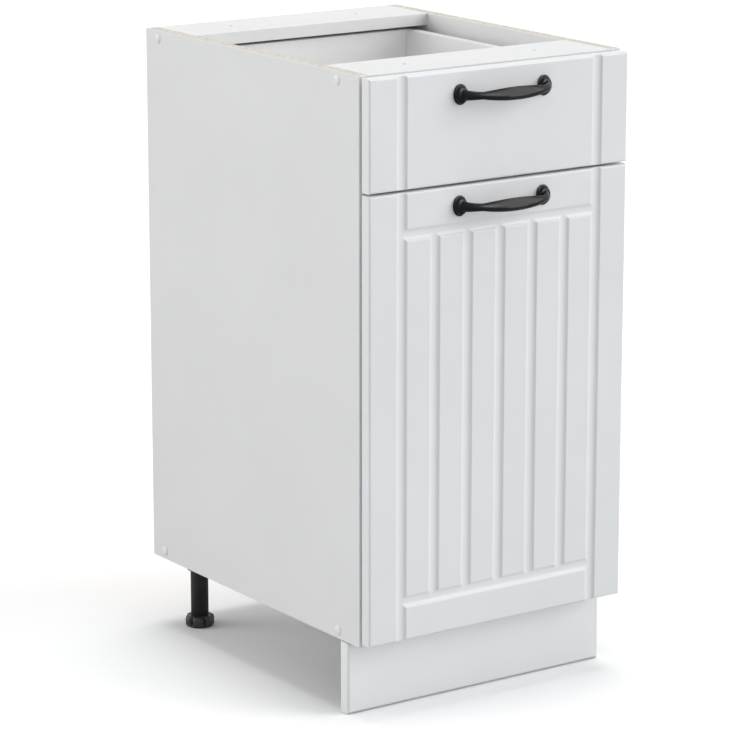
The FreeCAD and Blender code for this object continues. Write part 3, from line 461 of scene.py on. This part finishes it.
def beech_finish(colour):
    """Pale wood with fine rays along the dowel"""
    finish = Finish("beech_dowel", {"Roughness": 0.62})
    rays = add_node(
        finish.tree, "ShaderNodeTexWave", {"Scale": 320.0, "Distortion": 6.0, "Detail": 3.0},
        bands_direction="Z"
    )
    wire(finish.tree, finish.coords.outputs["Object"], rays.inputs["Vector"])
    pale = finish.drift(colour, darker=0.78, scale=900.0)
    dark = finish.drift(colour, darker=0.62, scale=300.0)
    finish.colour(finish.mix_colour(rays.outputs["Fac"], pale.outputs["Color"], dark.outputs["Color"]))
    finish.bump(rays.outputs["Fac"], BARE_RELIEF)


def make_finishes(colours):
    """Every finish of the cabinet"""
    for build in (drift_group, grain_group, chip_group, facing_group):
        build()
    for name, colour, *pattern in PLAIN_FINISHES:
        plain_finish(name, getattr(colours, colour), *pattern)
    for name, face, bare, *pattern in BARE_FINISHES:
        bare_finish(name, getattr(colours, face), getattr(colours, bare), *pattern)
    beech_finish(colours.beech)


SLOT_FINISH = {
    "board_white": "white_melamine",
    "front_foil": "satin_foil",
    "handle_black": "cast_lacquer",
    "leg_black": "moulded_black",
    "zinc_steel": "bright_zinc",
    "runner_paint": "powder_coat",
    "nylon_white": "nylon",
    "cap_white": "cap_plastic",
    "bumper_clear": "soft_pad",
    "beech": "beech_dowel",
}
NODE_FINISH = {
    "left_side_panel": "sawn_melamine",
    "right_side_panel": "sawn_melamine",
    "back_panel": "back_hardboard",
    "drawer_left_side": "drawer_melamine",
    "drawer_right_side": "drawer_melamine",
    "drawer_back": "drawer_melamine",
    "drawer_bottom": "tray_hardboard",
    "plinth_panel": "plinth_foil",
}


def finish_for(node):
    name = NODE_FINISH[node] if node in NODE_FINISH else SLOT_FINISH[SLOT_OF[node]]
    return bpy.data.materials[name]


# Shared mesh steps

MERGE_GAP = 0.0005 * MM
CUT_GAP = 0.001 * MM
TO_FRONT = Matrix.Rotation(math.radians(90), 4, "X")


def whole(bm):
    return bm.verts[:] + bm.edges[:] + bm.faces[:]


def to_mesh(name, bm):
    mesh = bpy.data.meshes.new(name)
    bm.to_mesh(mesh)
    bm.free()
    return mesh


def add_object(name, data):
    added = bpy.data.objects.new(name, data)
    bpy.context.scene.collection.objects.link(added)
    return added


def close_shell(bm):
    bmesh.ops.remove_doubles(bm, verts=bm.verts[:], dist=MERGE_GAP)
    bmesh.ops.recalc_face_normals(bm, faces=bm.faces[:])


def fill_ring(bm, ring):
    bmesh.ops.contextual_create(bm, geom=ring)


def in_metres(profile):
    return [(radius * MM, height * MM) for radius, height in profile]


def turn_towards(direction):
    """The turn that points the Z axis along a direction"""
    return Vector((0, 0, 1)).rotation_difference(direction).to_matrix().to_4x4()


def new_verts(made):
    return {item for item in made["geom"] if isinstance(item, bmesh.types.BMVert)}


def new_piece(name, bm, node, even=False):
    """Turns a finished bmesh into the piece that stands for a node, on its body and in its finish"""
    mesh = to_mesh(name, bm)
    mesh.shade_smooth()
    mesh.set_sharp_from_angle(angle=SHARP_ANGLE)
    mesh.materials.append(finish_for(node))
    piece = add_object(name, mesh)
    if even:
        piece.modifiers.new("even_normals", "WEIGHTED_NORMAL").keep_sharp = True
    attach(piece, BODY_OF[node])
    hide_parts(node)


def carve(bm, cutter):
    """Cuts one closed bmesh out of another"""
    stock = add_object("stock", to_mesh("stock", bm))
    tool = add_object("tool", to_mesh("tool", cutter))
    cut = stock.modifiers.new("cut", "BOOLEAN")
    cut.operation = "DIFFERENCE"
    cut.solver = "EXACT"
    cut.object = tool
    shape = bpy.data.meshes.new_from_object(stock.evaluated_get(bpy.context.evaluated_depsgraph_get()))
    result = bmesh.new()
    result.from_mesh(shape)
    for part in (stock, tool):
        leftover = part.data
        bpy.data.objects.remove(part)
        bpy.data.meshes.remove(leftover)
    bpy.data.meshes.remove(shape)
    return result


def lathe(bm, profile, matrix, steps):
    """Spins a profile of (radius, height) points about the Z axis and moves the result into place"""
    points = [bm.verts.new((radius, 0.0, height)) for radius, height in profile]
    edges = [bm.edges.new(pair) for pair in zip(points, points[1:])]
    made = bmesh.ops.spin(
        bm, geom=points + edges, cent=(0, 0, 0), axis=(0, 0, 1), dvec=(0, 0, 0), angle=FULL_TURN,
        steps=steps, use_merge=True
    )
    turned = {vert for vert in made["geom_last"] if isinstance(vert, bmesh.types.BMVert)}
    shell = set(points) | turned
    grown = True
    while grown:
        fresh = {other for vert in shell for edge in vert.link_edges for other in edge.verts} - shell
        shell |= fresh
        grown = bool(fresh)
    bmesh.ops.transform(bm, matrix=matrix, verts=list(shell))


# Drawer front and door

# Cuts across a cove, in millimetres from its middle line
COVE_STATIONS = (0.0, 1.7, 3.3, 4.7, 5.8, 6.6, 7.2, 7.8, 8.6, 10.0, 12.5)
EDGE_SEGMENTS = 5
CUP_SEGMENTS = 72


def cove_sink(distance, sizes):
    """Depth of a cove at a distance from its middle line: flattish floor, steep flanks, soft shoulders"""
    drop = sizes.cove_depth * (1 - abs(2 * distance / sizes.cove_width) ** sizes.cove_power)
    return (drop + math.hypot(drop, sizes.cove_shoulder)) / 2


def slice_along(bm, axis, places):
    normal = Vector((0, 0, 0))
    normal[axis] = 1.0
    for place in places:
        bmesh.ops.bisect_plane(bm, geom=whole(bm), dist=CUT_GAP, plane_co=normal * place, plane_no=normal)


def cove_places(middles, low, high):
    offsets = [side * step * MM for step in COVE_STATIONS for side in (-1, 1)]
    places = {middle + offset for middle in middles for offset in offsets}
    return sorted(place for place in places if low < place < high)


def rounded_board(low, high, edge_round):
    """A board with rounded front edges"""
    bm = bmesh.new()
    bmesh.ops.create_cube(bm, size=1.0)
    bmesh.ops.scale(bm, vec=high - low, verts=bm.verts[:])
    bmesh.ops.translate(bm, vec=(low + high) / 2, verts=bm.verts[:])
    rims = [edge for edge in bm.edges if all(abs(vert.co.y - low.y) < MM for vert in edge.verts)]
    bmesh.ops.bevel(
        bm, geom=rims, offset=edge_round, offset_type="OFFSET", segments=EDGE_SEGMENTS, profile=0.5,
        affect="EDGES", clamp_overlap=True, material=-1
    )
    return bm


def grooved_front(low, high, sizes, coves):
    """A rounded board, sunk along its coves; a cove is (axis, middle, start, end)"""
    bm = rounded_board(low, high, sizes.edge_round)
    for axis in (0, 2):
        middles = {middle for cove_axis, middle, start, end in coves if cove_axis == axis}
        slice_along(bm, axis, cove_places(middles, low[axis], high[axis]))
    for vert in bm.verts:
        sink = 0.0
        for axis, middle, start, end in coves:
            if start <= vert.co[2 - axis] <= end:
                sink = max(sink, cove_sink(vert.co[axis] - middle, sizes))
        vert.co.y = max(vert.co.y, low.y + sink)
    return bm


def upright_middles(sizes):
    outer = (sizes.cove_count - 1) / 2 * sizes.cove_pitch
    return [index * sizes.cove_pitch - outer for index in range(sizes.cove_count)]


def outer_coves(middles, low, high):
    """The first and the last upright cove, which run out at both ends of a front"""
    return [(0, middle, low.z - MM, high.z + MM) for middle in (middles[0], middles[-1])]


class CABINET_OT_grooved_fronts(Operator):
    """Make the drawer front and the door with their routed coves, and the plain plinth"""

    bl_idname = "cabinet.grooved_fronts"
    bl_label = "Grooved fronts"

    def execute(self, context):
        sizes = context.scene.cabinet_fronts
        middles = upright_middles(sizes)
        low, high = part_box("drawer_front")
        front = grooved_front(low, high, sizes, outer_coves(middles, low, high))
        new_piece("grooved_drawer_front", front, "drawer_front", even=True)

        low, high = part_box("door_panel")
        upper, lower = high.z - sizes.upper_cross, low.z + sizes.lower_cross
        coves = outer_coves(middles, low, high)
        coves += [(0, middle, lower, upper) for middle in middles[1:-1]]
        coves += [(2, level, middles[0], middles[-1]) for level in (lower, upper)]
        door = grooved_front(low, high, sizes, coves)
        for cup in ("lower_hinge_cup", "upper_hinge_cup"):
            cup_low, cup_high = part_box(cup)
            bore = bmesh.new()
            place = Vector((sizes.cup_x, high.y, (cup_low.z + cup_high.z) / 2))
            bmesh.ops.create_cone(
                bore, cap_ends=True, segments=CUP_SEGMENTS, radius1=sizes.cup_radius,
                radius2=sizes.cup_radius, depth=2 * sizes.cup_depth,
                matrix=Matrix.Translation(place) @ TO_FRONT
            )
            door = carve(door, bore)
        new_piece("grooved_door", door, "door_panel", even=True)

        low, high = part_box("plinth_panel")
        plinth = rounded_board(low, high, sizes.plinth_round)
        new_piece("rounded_plinth", plinth, "plinth_panel", even=True)
        return {"FINISHED"}


# Bow handles

BOW_SECTIONS = 72
BOW_SIDES = 32
ROSETTE_STEPS = 56
FIRST_TURN = math.radians(3.0)
TANGENT_STEP = math.radians(0.5)
# How far the grip's ridge lies below its middle, as a share of its half height, and how sharp it is
RIDGE_DROP = 0.40
RIDGE_EDGE = 0.84
ELLIPSE_POWER = 2.0
# How late the bow flares towards its feet
FLARE_POWER = 6
# Radius and height of the foot plate, in millimetres, before it is drawn out to an oval
ROSETTE_PROFILE = (
    (0.0, 0.0), (9.55, 0.0), (9.85, 0.25), (10.0, 0.8), (10.0, 1.8), (9.8, 2.4), (9.3, 2.75), (8.8, 2.9),
    (8.65, 3.2), (8.6, 4.2), (8.4, 5.4), (7.9, 6.6), (7.0, 7.5), (5.8, 8.1), (4.2, 8.6), (0.0, 8.8),
)


def bow_point(turn, sizes):
    """The bow's middle line in plan: a squared arch from one foot to the other"""
    power = 2 / sizes.squareness
    across = math.cos(turn)
    x = math.copysign(abs(across) ** power, across) * sizes.centres / 2
    return Vector((x, -sizes.reach * abs(math.sin(turn)) ** power, 0.0))


def bow_sizes(place, sizes):
    """Half height, half depth and leaf share of the bow: a leaf-shaped grip between two flaring necks"""
    leaf = max(0.0, 1 - (place.x / sizes.leaf) ** 2)
    flare = abs(2 * place.x / sizes.centres) ** FLARE_POWER
    swell = (sizes.grip_height - sizes.waist) * leaf + (sizes.neck_height - sizes.waist) * flare
    height = sizes.waist + swell
    depth = sizes.neck_depth + (sizes.grip_depth - sizes.neck_depth) * leaf
    return height / 2, depth / 2, leaf


def bow_frame(turn, sizes):
    """Stands a ring across the bow"""
    along = (bow_point(turn + TANGENT_STEP, sizes) - bow_point(turn - TANGENT_STEP, sizes)).normalized()
    up = Vector((0, 0, 1))
    basis = Matrix((up, up.cross(along), along)).transposed().to_4x4()
    return Matrix.Translation(bow_point(turn, sizes)) @ basis


def ridged_oval(angle, half_height, half_depth, leaf):
    """A point of the bow's section: an oval whose outer side runs to a soft ridge below its middle"""
    rise, out = math.cos(angle), math.sin(angle)
    edge = ELLIPSE_POWER - RIDGE_EDGE * leaf if out > 0 else ELLIPSE_POWER
    reach = (abs(rise) ** edge + abs(out) ** edge) ** (-1 / edge)
    drop = RIDGE_DROP * leaf * max(out, 0.0) * reach
    return Vector((half_height * (rise * reach - drop), half_depth * out * reach, 0.0))


def shape_ring(ring, turn, sizes):
    """Moves a ring of vertices, in their order round the ring, to the bow's section at a turn"""
    frame_here = bow_frame(turn, sizes)
    half_height, half_depth, leaf = bow_sizes(bow_point(turn, sizes), sizes)
    for index, vert in enumerate(ring):
        angle = FULL_TURN * index / len(ring)
        vert.co = frame_here @ ridged_oval(angle, half_height, half_depth, leaf)


def ring_edges(bm, ring):
    return [bm.edges.get((vert, after)) for vert, after in zip(ring, ring[1:] + ring[:1])]


def bow_handle(sizes, place):
    """The bow, drawn section by section from one foot to the other, and its two foot plates"""
    bm = bmesh.new()
    step = (math.pi - 2 * FIRST_TURN) / (BOW_SECTIONS - 1)
    turns = [FIRST_TURN + step * index for index in range(BOW_SECTIONS)]
    ring = bmesh.ops.create_circle(bm, cap_ends=False, segments=BOW_SIDES, radius=1.0)["verts"]
    shape_ring(ring, turns[0], sizes)
    fill_ring(bm, bm.edges[:])
    for turn in turns[1:]:
        fresh = new_verts(bmesh.ops.extrude_edge_only(bm, edges=ring_edges(bm, ring)))
        neighbours = [{edge.other_vert(vert) for edge in vert.link_edges} & fresh for vert in ring]
        ring = [found.pop() for found in neighbours]
        shape_ring(ring, turn, sizes)
    fill_ring(bm, ring_edges(bm, ring))
    oval = Matrix.Diagonal((1, 1, sizes.rosette_height / sizes.rosette_width, 1))
    for side in (-1, 1):
        foot = Matrix.Translation((side * sizes.centres / 2, 0, 0))
        lathe(bm, in_metres(ROSETTE_PROFILE), foot @ oval @ TO_FRONT, ROSETTE_STEPS)
    bmesh.ops.translate(bm, vec=place, verts=bm.verts[:])
    close_shell(bm)
    return bm


class CABINET_OT_bow_handles(Operator):
    """Make the two cast bow handles with their oval foot plates"""

    bl_idname = "cabinet.bow_handles"
    bl_label = "Bow handles"

    def execute(self, context):
        for node in ("drawer_handle", "door_handle"):
            low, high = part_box(node)
            place = Vector((0, high.y, (low.z + high.z) / 2))
            new_piece("cast_" + node, bow_handle(context.scene.cabinet_handles, place), node)
        return {"FINISHED"}


# Turned and moulded pieces

CAP_STEPS = 48
# Radius and height of a cap above the panel, in millimetres, with its peg below
CAP_PROFILE = (
    (0.0, -3.0), (2.0, -3.0), (2.0, 0.0), (6.2, 0.0), (6.45, 0.12), (6.5, 0.4), (6.3, 0.72), (5.6, 1.1),
    (4.6, 1.52), (3.4, 1.86), (2.0, 2.1), (0.8, 2.19), (0.0, 2.2),
)


def solids_of(node):
    """The separate solids of a node, each as the list of its corners"""
    piece = frame["nodes"][node]
    bm = bmesh.new()
    bm.from_mesh(piece.data)
    bmesh.ops.transform(bm, matrix=piece.matrix_world, verts=bm.verts[:])
    close_shell(bm)
    left = set(bm.verts)
    solids = []
    while left:
        waiting = [left.pop()]
        corners = []
        while waiting:
            vert = waiting.pop()
            corners.append(vert.co.copy())
            near = {edge.other_vert(vert) for edge in vert.link_edges} & left
            left -= near
            waiting.extend(near)
        solids.append(corners)
    bm.free()
    return solids


def corners_box(corners):
    low = Vector([min(corner[axis] for corner in corners) for axis in range(3)])
    high = Vector([max(corner[axis] for corner in corners) for axis in range(3)])
    return low, high


class CABINET_OT_screw_caps(Operator):
    """Make the domed caps that cover the carcass screws"""

    bl_idname = "cabinet.screw_caps"
    bl_label = "Screw caps"

    def execute(self, context):
        bm = bmesh.new()
        panel_low, panel_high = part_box("left_side_panel")[0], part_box("right_side_panel")[1]
        for corners in solids_of("screw_caps"):
            low, high = corners_box(corners)
            middle = (low + high) / 2
            side = math.copysign(1.0, middle.x)
            middle.x = panel_high.x if side > 0 else panel_low.x
            outward = turn_towards(Vector((side, 0, 0)))
            lathe(bm, in_metres(CAP_PROFILE), Matrix.Translation(middle) @ outward, CAP_STEPS)
        close_shell(bm)
        new_piece("domed_screw_caps", bm, "screw_caps")
        return {"FINISHED"}


FOOT_SEGMENTS = 144
# Rings of the foot from the floor up: share of its height, of its radius and of its notches' depth
FOOT_RINGS = (
    (0.0, 0.86, 0.0), (0.05, 0.92, 0.0), (0.12, 0.97, 0.10), (0.17, 0.99, 0.45), (0.24, 1.0, 0.95),
    (0.34, 1.0, 1.0), (0.74, 1.0, 1.0), (0.87, 0.975, 1.0), (0.95, 0.93, 1.0), (0.99, 0.87, 0.95),
    (1.0, 0.80, 0.8), (1.0, 0.62, 0.0), (1.0, 0.40, 0.0),
)
NOTCH_SPREAD = math.radians(7.5)
THREAD_PITCH = 2.5 * MM
THREAD_STEPS = 32


def lobed_radius(angle, sizes, share, first_notch):
    """Radius of the foot's outline: round, with a soft notch between one lobe and the next"""
    gap = FULL_TURN / sizes.lobes
    off = (angle - first_notch + gap / 2) % gap - gap / 2
    return sizes.radius - sizes.notch * share * math.exp(-((off / NOTCH_SPREAD) ** 2))


def levelling_foot(sizes, node, first_notch):
    """A lobed foot under a stem, whose thread is one tooth wound round it"""
    low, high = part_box(node)
    middle = Vector(((low.x + high.x) / 2, (low.y + high.y) / 2, low.z))
    bm = bmesh.new()
    bmesh.ops.create_circle(bm, cap_ends=False, segments=FOOT_SEGMENTS, radius=sizes.radius)
    edges = bm.edges[:]
    fill_ring(bm, edges)
    for index, (rise, share, notch) in enumerate(FOOT_RINGS):
        if index:
            made = bmesh.ops.extrude_edge_only(bm, edges=edges)
            ring = new_verts(made)
            fresh = [item for item in made["geom"] if isinstance(item, bmesh.types.BMEdge)]
            edges = [edge for edge in fresh if set(edge.verts) <= ring]
        else:
            ring = set(bm.verts)
        for vert in ring:
            radius = lobed_radius(math.atan2(vert.co.y, vert.co.x), sizes, notch, first_notch) * share
            flat = Vector((vert.co.x, vert.co.y, 0)).normalized() * radius
            vert.co = Vector((flat.x, flat.y, rise * sizes.height))
    fill_ring(bm, edges)
    core = sizes.stem - sizes.thread
    root = core - sizes.thread
    base, top = sizes.height - MM, high.z - low.z
    stem = [(0.0, base), (core, base), (core, top - MM), (core - MM, top), (0.0, top)]
    lathe(bm, stem, Matrix.Identity(4), THREAD_STEPS)
    ridge = [
        bm.verts.new((root, 0, sizes.height)),
        bm.verts.new((sizes.stem, 0, sizes.height + THREAD_PITCH / 2)),
        bm.verts.new((root, 0, sizes.height + THREAD_PITCH)),
    ]
    tooth = bm.faces.new(ridge)
    turns = int((top - sizes.height) / THREAD_PITCH) - 1
    bmesh.ops.spin(
        bm, geom=[tooth], cent=(0, 0, 0), axis=(0, 0, 1), dvec=(0, 0, THREAD_PITCH / THREAD_STEPS),
        angle=FULL_TURN * turns, steps=THREAD_STEPS * turns, use_merge=False
    )
    bmesh.ops.translate(bm, vec=middle, verts=bm.verts[:])
    bmesh.ops.recalc_face_normals(bm, faces=bm.faces[:])
    return bm


class CABINET_OT_levelling_feet(Operator):
    """Make the four lobed levelling feet with their threaded stems"""

    bl_idname = "cabinet.levelling_feet"
    bl_label = "Levelling feet"

    def execute(self, context):
        sizes = context.scene.cabinet_feet
        for row in ("front", "rear"):
            for side, turn in (("left", math.pi - sizes.first_notch), ("right", sizes.first_notch)):
                node = row + "_" + side + "_foot"
                new_piece("lobed_" + node, levelling_foot(sizes, node, turn), node)
        return {"FINISHED"}


# Screws with a cross recess

HEAD_STEPS = 40
# Radius and height of a head, and the sizes of its recess, as shares of the head's own
HEAD_PROFILE = (
    (0.0, 0.0), (0.94, 0.0), (1.0, 0.10), (1.0, 0.35), (0.96, 0.58), (0.86, 0.78), (0.68, 0.92),
    (0.40, 0.99), (0.0, 1.0),
)
RECESS_SPAN = 1.05
RECESS_WIDTH = 0.24
RECESS_FLOOR = 0.25
RECESS_TAPER = 0.55
# Radius of a screw's tip, as a share of its shank's
TIP_SHARE = 0.6
# Corners this far out belong to a screw's head, and those this far down from its middle to its shank
HEAD_SHARE = 0.9
SHANK_SHARE = 0.4
CROSS_HEADED = (
    "euro_screws", "hinge_arm_screws", "hinge_cup_screws", "drawer_runner_screws", "leg_screws",
    "plinth_clip_screws", "drawer_handle_screws", "door_handle_screws",
)


def cross_head():
    """A screw head of unit radius and unit height, standing on its under side, with a cross recess"""
    head = bmesh.new()
    lathe(head, HEAD_PROFILE, Matrix.Identity(4), HEAD_STEPS)
    close_shell(head)
    for span, width in ((RECESS_SPAN, RECESS_WIDTH), (RECESS_WIDTH, RECESS_SPAN)):
        slot = bmesh.new()
        bmesh.ops.create_cube(slot, size=1.0)
        bmesh.ops.scale(slot, vec=(span, width, 2.0), verts=slot.verts[:])
        bmesh.ops.translate(slot, vec=(0, 0, 1.0 + RECESS_FLOOR), verts=slot.verts[:])
        foot = [vert for vert in slot.verts if vert.co.z < 1.0]
        bmesh.ops.scale(slot, vec=(RECESS_TAPER, RECESS_TAPER, 1.0), verts=foot)
        head = carve(head, slot)
    return to_mesh("cross_head", head)


def screw_sizes(corners):
    """Reads a screw from its solid: its head's seat, the way that it points, its radii and its lengths"""
    low, high = corners_box(corners)
    middle = (low + high) / 2
    spans = high - low
    axis = max(range(3), key=lambda index: spans[index])
    along = Vector((0, 0, 0))
    along[axis] = 1.0
    reach = [((corner - middle) - along * (corner - middle).dot(along)).length for corner in corners]
    ends = [(corner[axis] - middle[axis], out) for corner, out in zip(corners, reach)]
    head_radius = max(reach)
    wide = [place for place, out in ends if out > HEAD_SHARE * head_radius]
    outward = math.copysign(1.0, sum(wide))
    shank_radius = max(out for place, out in ends if place * outward < -SHANK_SHARE * spans[axis])
    head_height = max(place * outward for place in wide) - min(place * outward for place in wide)
    seat = middle + along * outward * (spans[axis] / 2 - head_height)
    return seat, along * outward, head_radius, head_height, shank_radius, spans[axis] - head_height


class CABINET_OT_cross_screws(Operator):
    """Make the screws that show their heads, each with a cross recess"""

    bl_idname = "cabinet.cross_screws"
    bl_label = "Cross-recess screws"

    def execute(self, context):
        head = cross_head()
        for node in CROSS_HEADED:
            bm = bmesh.new()
            for corners in solids_of(node):
                seat, outward, radius, height, shank, depth = screw_sizes(corners)
                place = Matrix.Translation(seat) @ turn_towards(outward)
                before = len(bm.verts)
                bm.from_mesh(head)
                bm.verts.ensure_lookup_table()
                size = Matrix.Diagonal((radius, radius, height, 1))
                bmesh.ops.transform(bm, matrix=place @ size, verts=bm.verts[before:])
                tip = [(0.0, -depth), (shank * TIP_SHARE, -depth), (shank, shank - depth)]
                lathe(bm, tip + [(shank, 0.0), (0.0, 0.0)], place, HEAD_STEPS)
            bmesh.ops.recalc_face_normals(bm, faces=bm.faces[:])
            new_piece("cross_" + node, bm, node)
        bpy.data.meshes.remove(head)
        return {"FINISHED"}


# Round pieces that keep their shape and get smooth shading

ROUND_NODES = (
    "front_left_leg", "front_right_leg", "rear_left_leg", "rear_right_leg", "plinth_clips", "door_bumpers",
    "left_cabinet_roller", "right_cabinet_roller", "left_drawer_roller", "right_drawer_roller",
    "cabinet_roller_axles", "drawer_roller_axles", "lower_hinge_cup", "upper_hinge_cup", "lower_hinge_arm",
    "upper_hinge_arm", "hinge_pins", "shelf_pins", "drawer_cams", "drawer_screws", "back_panel_nails",
)


class CABINET_OT_round_pieces(Operator):
    """Give the round pieces whole, smoothly shaded surfaces"""

    bl_idname = "cabinet.round_pieces"
    bl_label = "Round pieces"

    def execute(self, context):
        for node in ROUND_NODES:
            bm = bmesh.new()
            bm.from_mesh(frame["nodes"][node].data)
            close_shell(bm)
            new_piece("smooth_" + node, bm, node)
        return {"FINISHED"}


# Finishes on the pieces that stay as they are


class CABINET_OT_board_finishes(Operator):
    """Make the finishes and put them on the boards, runners and other pieces"""

    bl_idname = "cabinet.board_finishes"
    bl_label = "Board finishes"

    def execute(self, context):
        make_finishes(context.scene.cabinet_finishes)
        for node, piece in frame["nodes"].items():
            piece.data.materials.clear()
            piece.data.materials.append(finish_for(node))
        return {"FINISHED"}


# Stage

FLOOR_SPAN = 30.0
# Tone of the floor straight to the camera, and of the light that it throws back
FLOOR_SEEN = (1.09, 1.09, 1.09, 1.0)
FLOOR_BOUNCE = (0.58, 0.58, 0.58, 1.0)
SKY_TINT = (0.98, 0.99, 1.0, 1.0)
BACKDROP_WHITE = (1.0, 1.0, 1.0, 1.0)
CAMERA_REACH = 100.0

# Lamp, the strength that it takes, the way that it shines and its spread in degrees
LAMPS = (
    ("overhead_lamp", "overhead", (-0.07, -0.08, -1.0), 26),
    ("right_lamp", "right", (-0.72, 0.60, -0.30), 40),
    ("left_lamp", "left", (0.85, -0.50, -0.15), 50),
    ("handle_card", "card", (-0.10, 0.88, -0.46), 36),
)
GLOSS_LAMPS = ("handle_card",)


def seen_share(tree, *also):
    """1 for the rays that show the backdrop: straight to the camera, and the other kinds that are named"""
    path = add_node(tree, "ShaderNodeLightPath")
    share = path.outputs["Is Camera Ray"]
    for ray in also:
        either = add_node(tree, "ShaderNodeMath", operation="MAXIMUM")
        wire(tree, share, either.inputs[0])
        wire(tree, path.outputs[ray], either.inputs[1])
        share = either.outputs["Value"]
    return share


def show_by_ray(tree, output, share, unseen, seen):
    """Shows one shader to a share of the rays and another to the rest"""
    blend = add_node(tree, "ShaderNodeMixShader")
    wire(tree, share, blend.inputs[0])
    wire(tree, unseen, blend.inputs[1])
    wire(tree, seen, blend.inputs[2])
    wire(tree, blend.outputs["Shader"], output.inputs["Surface"])


def make_floor():
    bm = bmesh.new()
    bmesh.ops.create_grid(bm, x_segments=1, y_segments=1, size=FLOOR_SPAN / 2)
    floor = add_object("studio_floor", to_mesh("studio_floor", bm))
    material = bpy.data.materials.new("pale_floor")
    floor.data.materials.append(material)
    tree = empty_tree(material)
    output = add_node(tree, "ShaderNodeOutputMaterial")
    seen = add_node(tree, "ShaderNodeBsdfDiffuse", {"Color": FLOOR_SEEN})
    bounce = add_node(tree, "ShaderNodeBsdfDiffuse", {"Color": FLOOR_BOUNCE})
    show_by_ray(tree, output, seen_share(tree), bounce.outputs["BSDF"], seen.outputs["BSDF"])


def make_sky(strength):
    world = bpy.data.worlds.new("studio")
    bpy.context.scene.world = world
    tree = empty_tree(world)
    output = add_node(tree, "ShaderNodeOutputWorld")
    light = add_node(tree, "ShaderNodeBackground", {"Color": SKY_TINT, "Strength": strength})
    white = add_node(tree, "ShaderNodeBackground", {"Color": BACKDROP_WHITE, "Strength": 1.0})
    share = seen_share(tree, "Is Glossy Ray")
    show_by_ray(tree, output, share, light.outputs["Background"], white.outputs["Background"])


def make_lamp(name, toward, spread, strength):
    """A soft far lamp that shines along a direction, so that the floor is lit evenly"""
    light = bpy.data.lights.new(name, "SUN")
    light.angle = spread
    light.energy = strength
    lamp = add_object(name, light)
    lamp.rotation_euler = Vector(toward).to_track_quat("-Z", "Y").to_euler()
    lamp.visible_diffuse = name not in GLOSS_LAMPS


def make_camera(studio):
    data = bpy.data.cameras.new("camera")
    data.lens = studio.lens
    data.clip_end = CAMERA_REACH
    camera = add_object("camera", data)
    camera.location = studio.place
    level = math.cos(studio.pitch)
    look = Vector((math.sin(studio.yaw) * level, math.cos(studio.yaw) * level, -math.sin(studio.pitch)))
    camera.rotation_euler = look.to_track_quat("-Z", "Y").to_euler()
    bpy.context.scene.camera = camera


class CABINET_OT_studio(Operator):
    """Make the floor, the soft lamps, the white background and the camera"""

    bl_idname = "cabinet.studio"
    bl_label = "Studio"

    def execute(self, context):
        studio = context.scene.cabinet_studio
        make_floor()
        make_sky(studio.sky)
        for name, strength, toward, spread in LAMPS:
            make_lamp(name, toward, math.radians(spread), getattr(studio, strength))
        make_camera(studio)
        context.scene.view_settings.view_transform = "Standard"
        return {"FINISHED"}


STEPS = (
    CABINET_OT_board_finishes,
    CABINET_OT_grooved_fronts,
    CABINET_OT_bow_handles,
    CABINET_OT_screw_caps,
    CABINET_OT_levelling_feet,
    CABINET_OT_cross_screws,
    CABINET_OT_round_pieces,
    CABINET_OT_studio,
)
GROUPS = {
    "cabinet_fronts": FrontSizes,
    "cabinet_handles": HandleSizes,
    "cabinet_feet": FootSizes,
    "cabinet_finishes": Finishes,
    "cabinet_studio": Studio,
}


class CABINET_PT_steps(Panel):
    """The cabinet's steps, in their order"""

    bl_idname = "CABINET_PT_steps"
    bl_label = "Kitchen base cabinet"
    bl_space_type = "VIEW_3D"
    bl_region_type = "UI"
    bl_category = "Cabinet"

    def draw(self, context):
        for step in STEPS:
            self.layout.operator(step.bl_idname)


def register():
    for name, group in GROUPS.items():
        bpy.utils.register_class(group)
        setattr(bpy.types.Scene, name, PointerProperty(type=group))
    for step in STEPS:
        bpy.utils.register_class(step)
    bpy.utils.register_class(CABINET_PT_steps)


def unregister():
    bpy.utils.unregister_class(CABINET_PT_steps)
    for step in reversed(STEPS):
        bpy.utils.unregister_class(step)
    for name, group in GROUPS.items():
        delattr(bpy.types.Scene, name)
        bpy.utils.unregister_class(group)


def main():
    register()
    for step in STEPS:
        family, action = step.bl_idname.split(".")
        getattr(getattr(bpy.ops, family), action)()


if __name__ == "__main__":
    main()
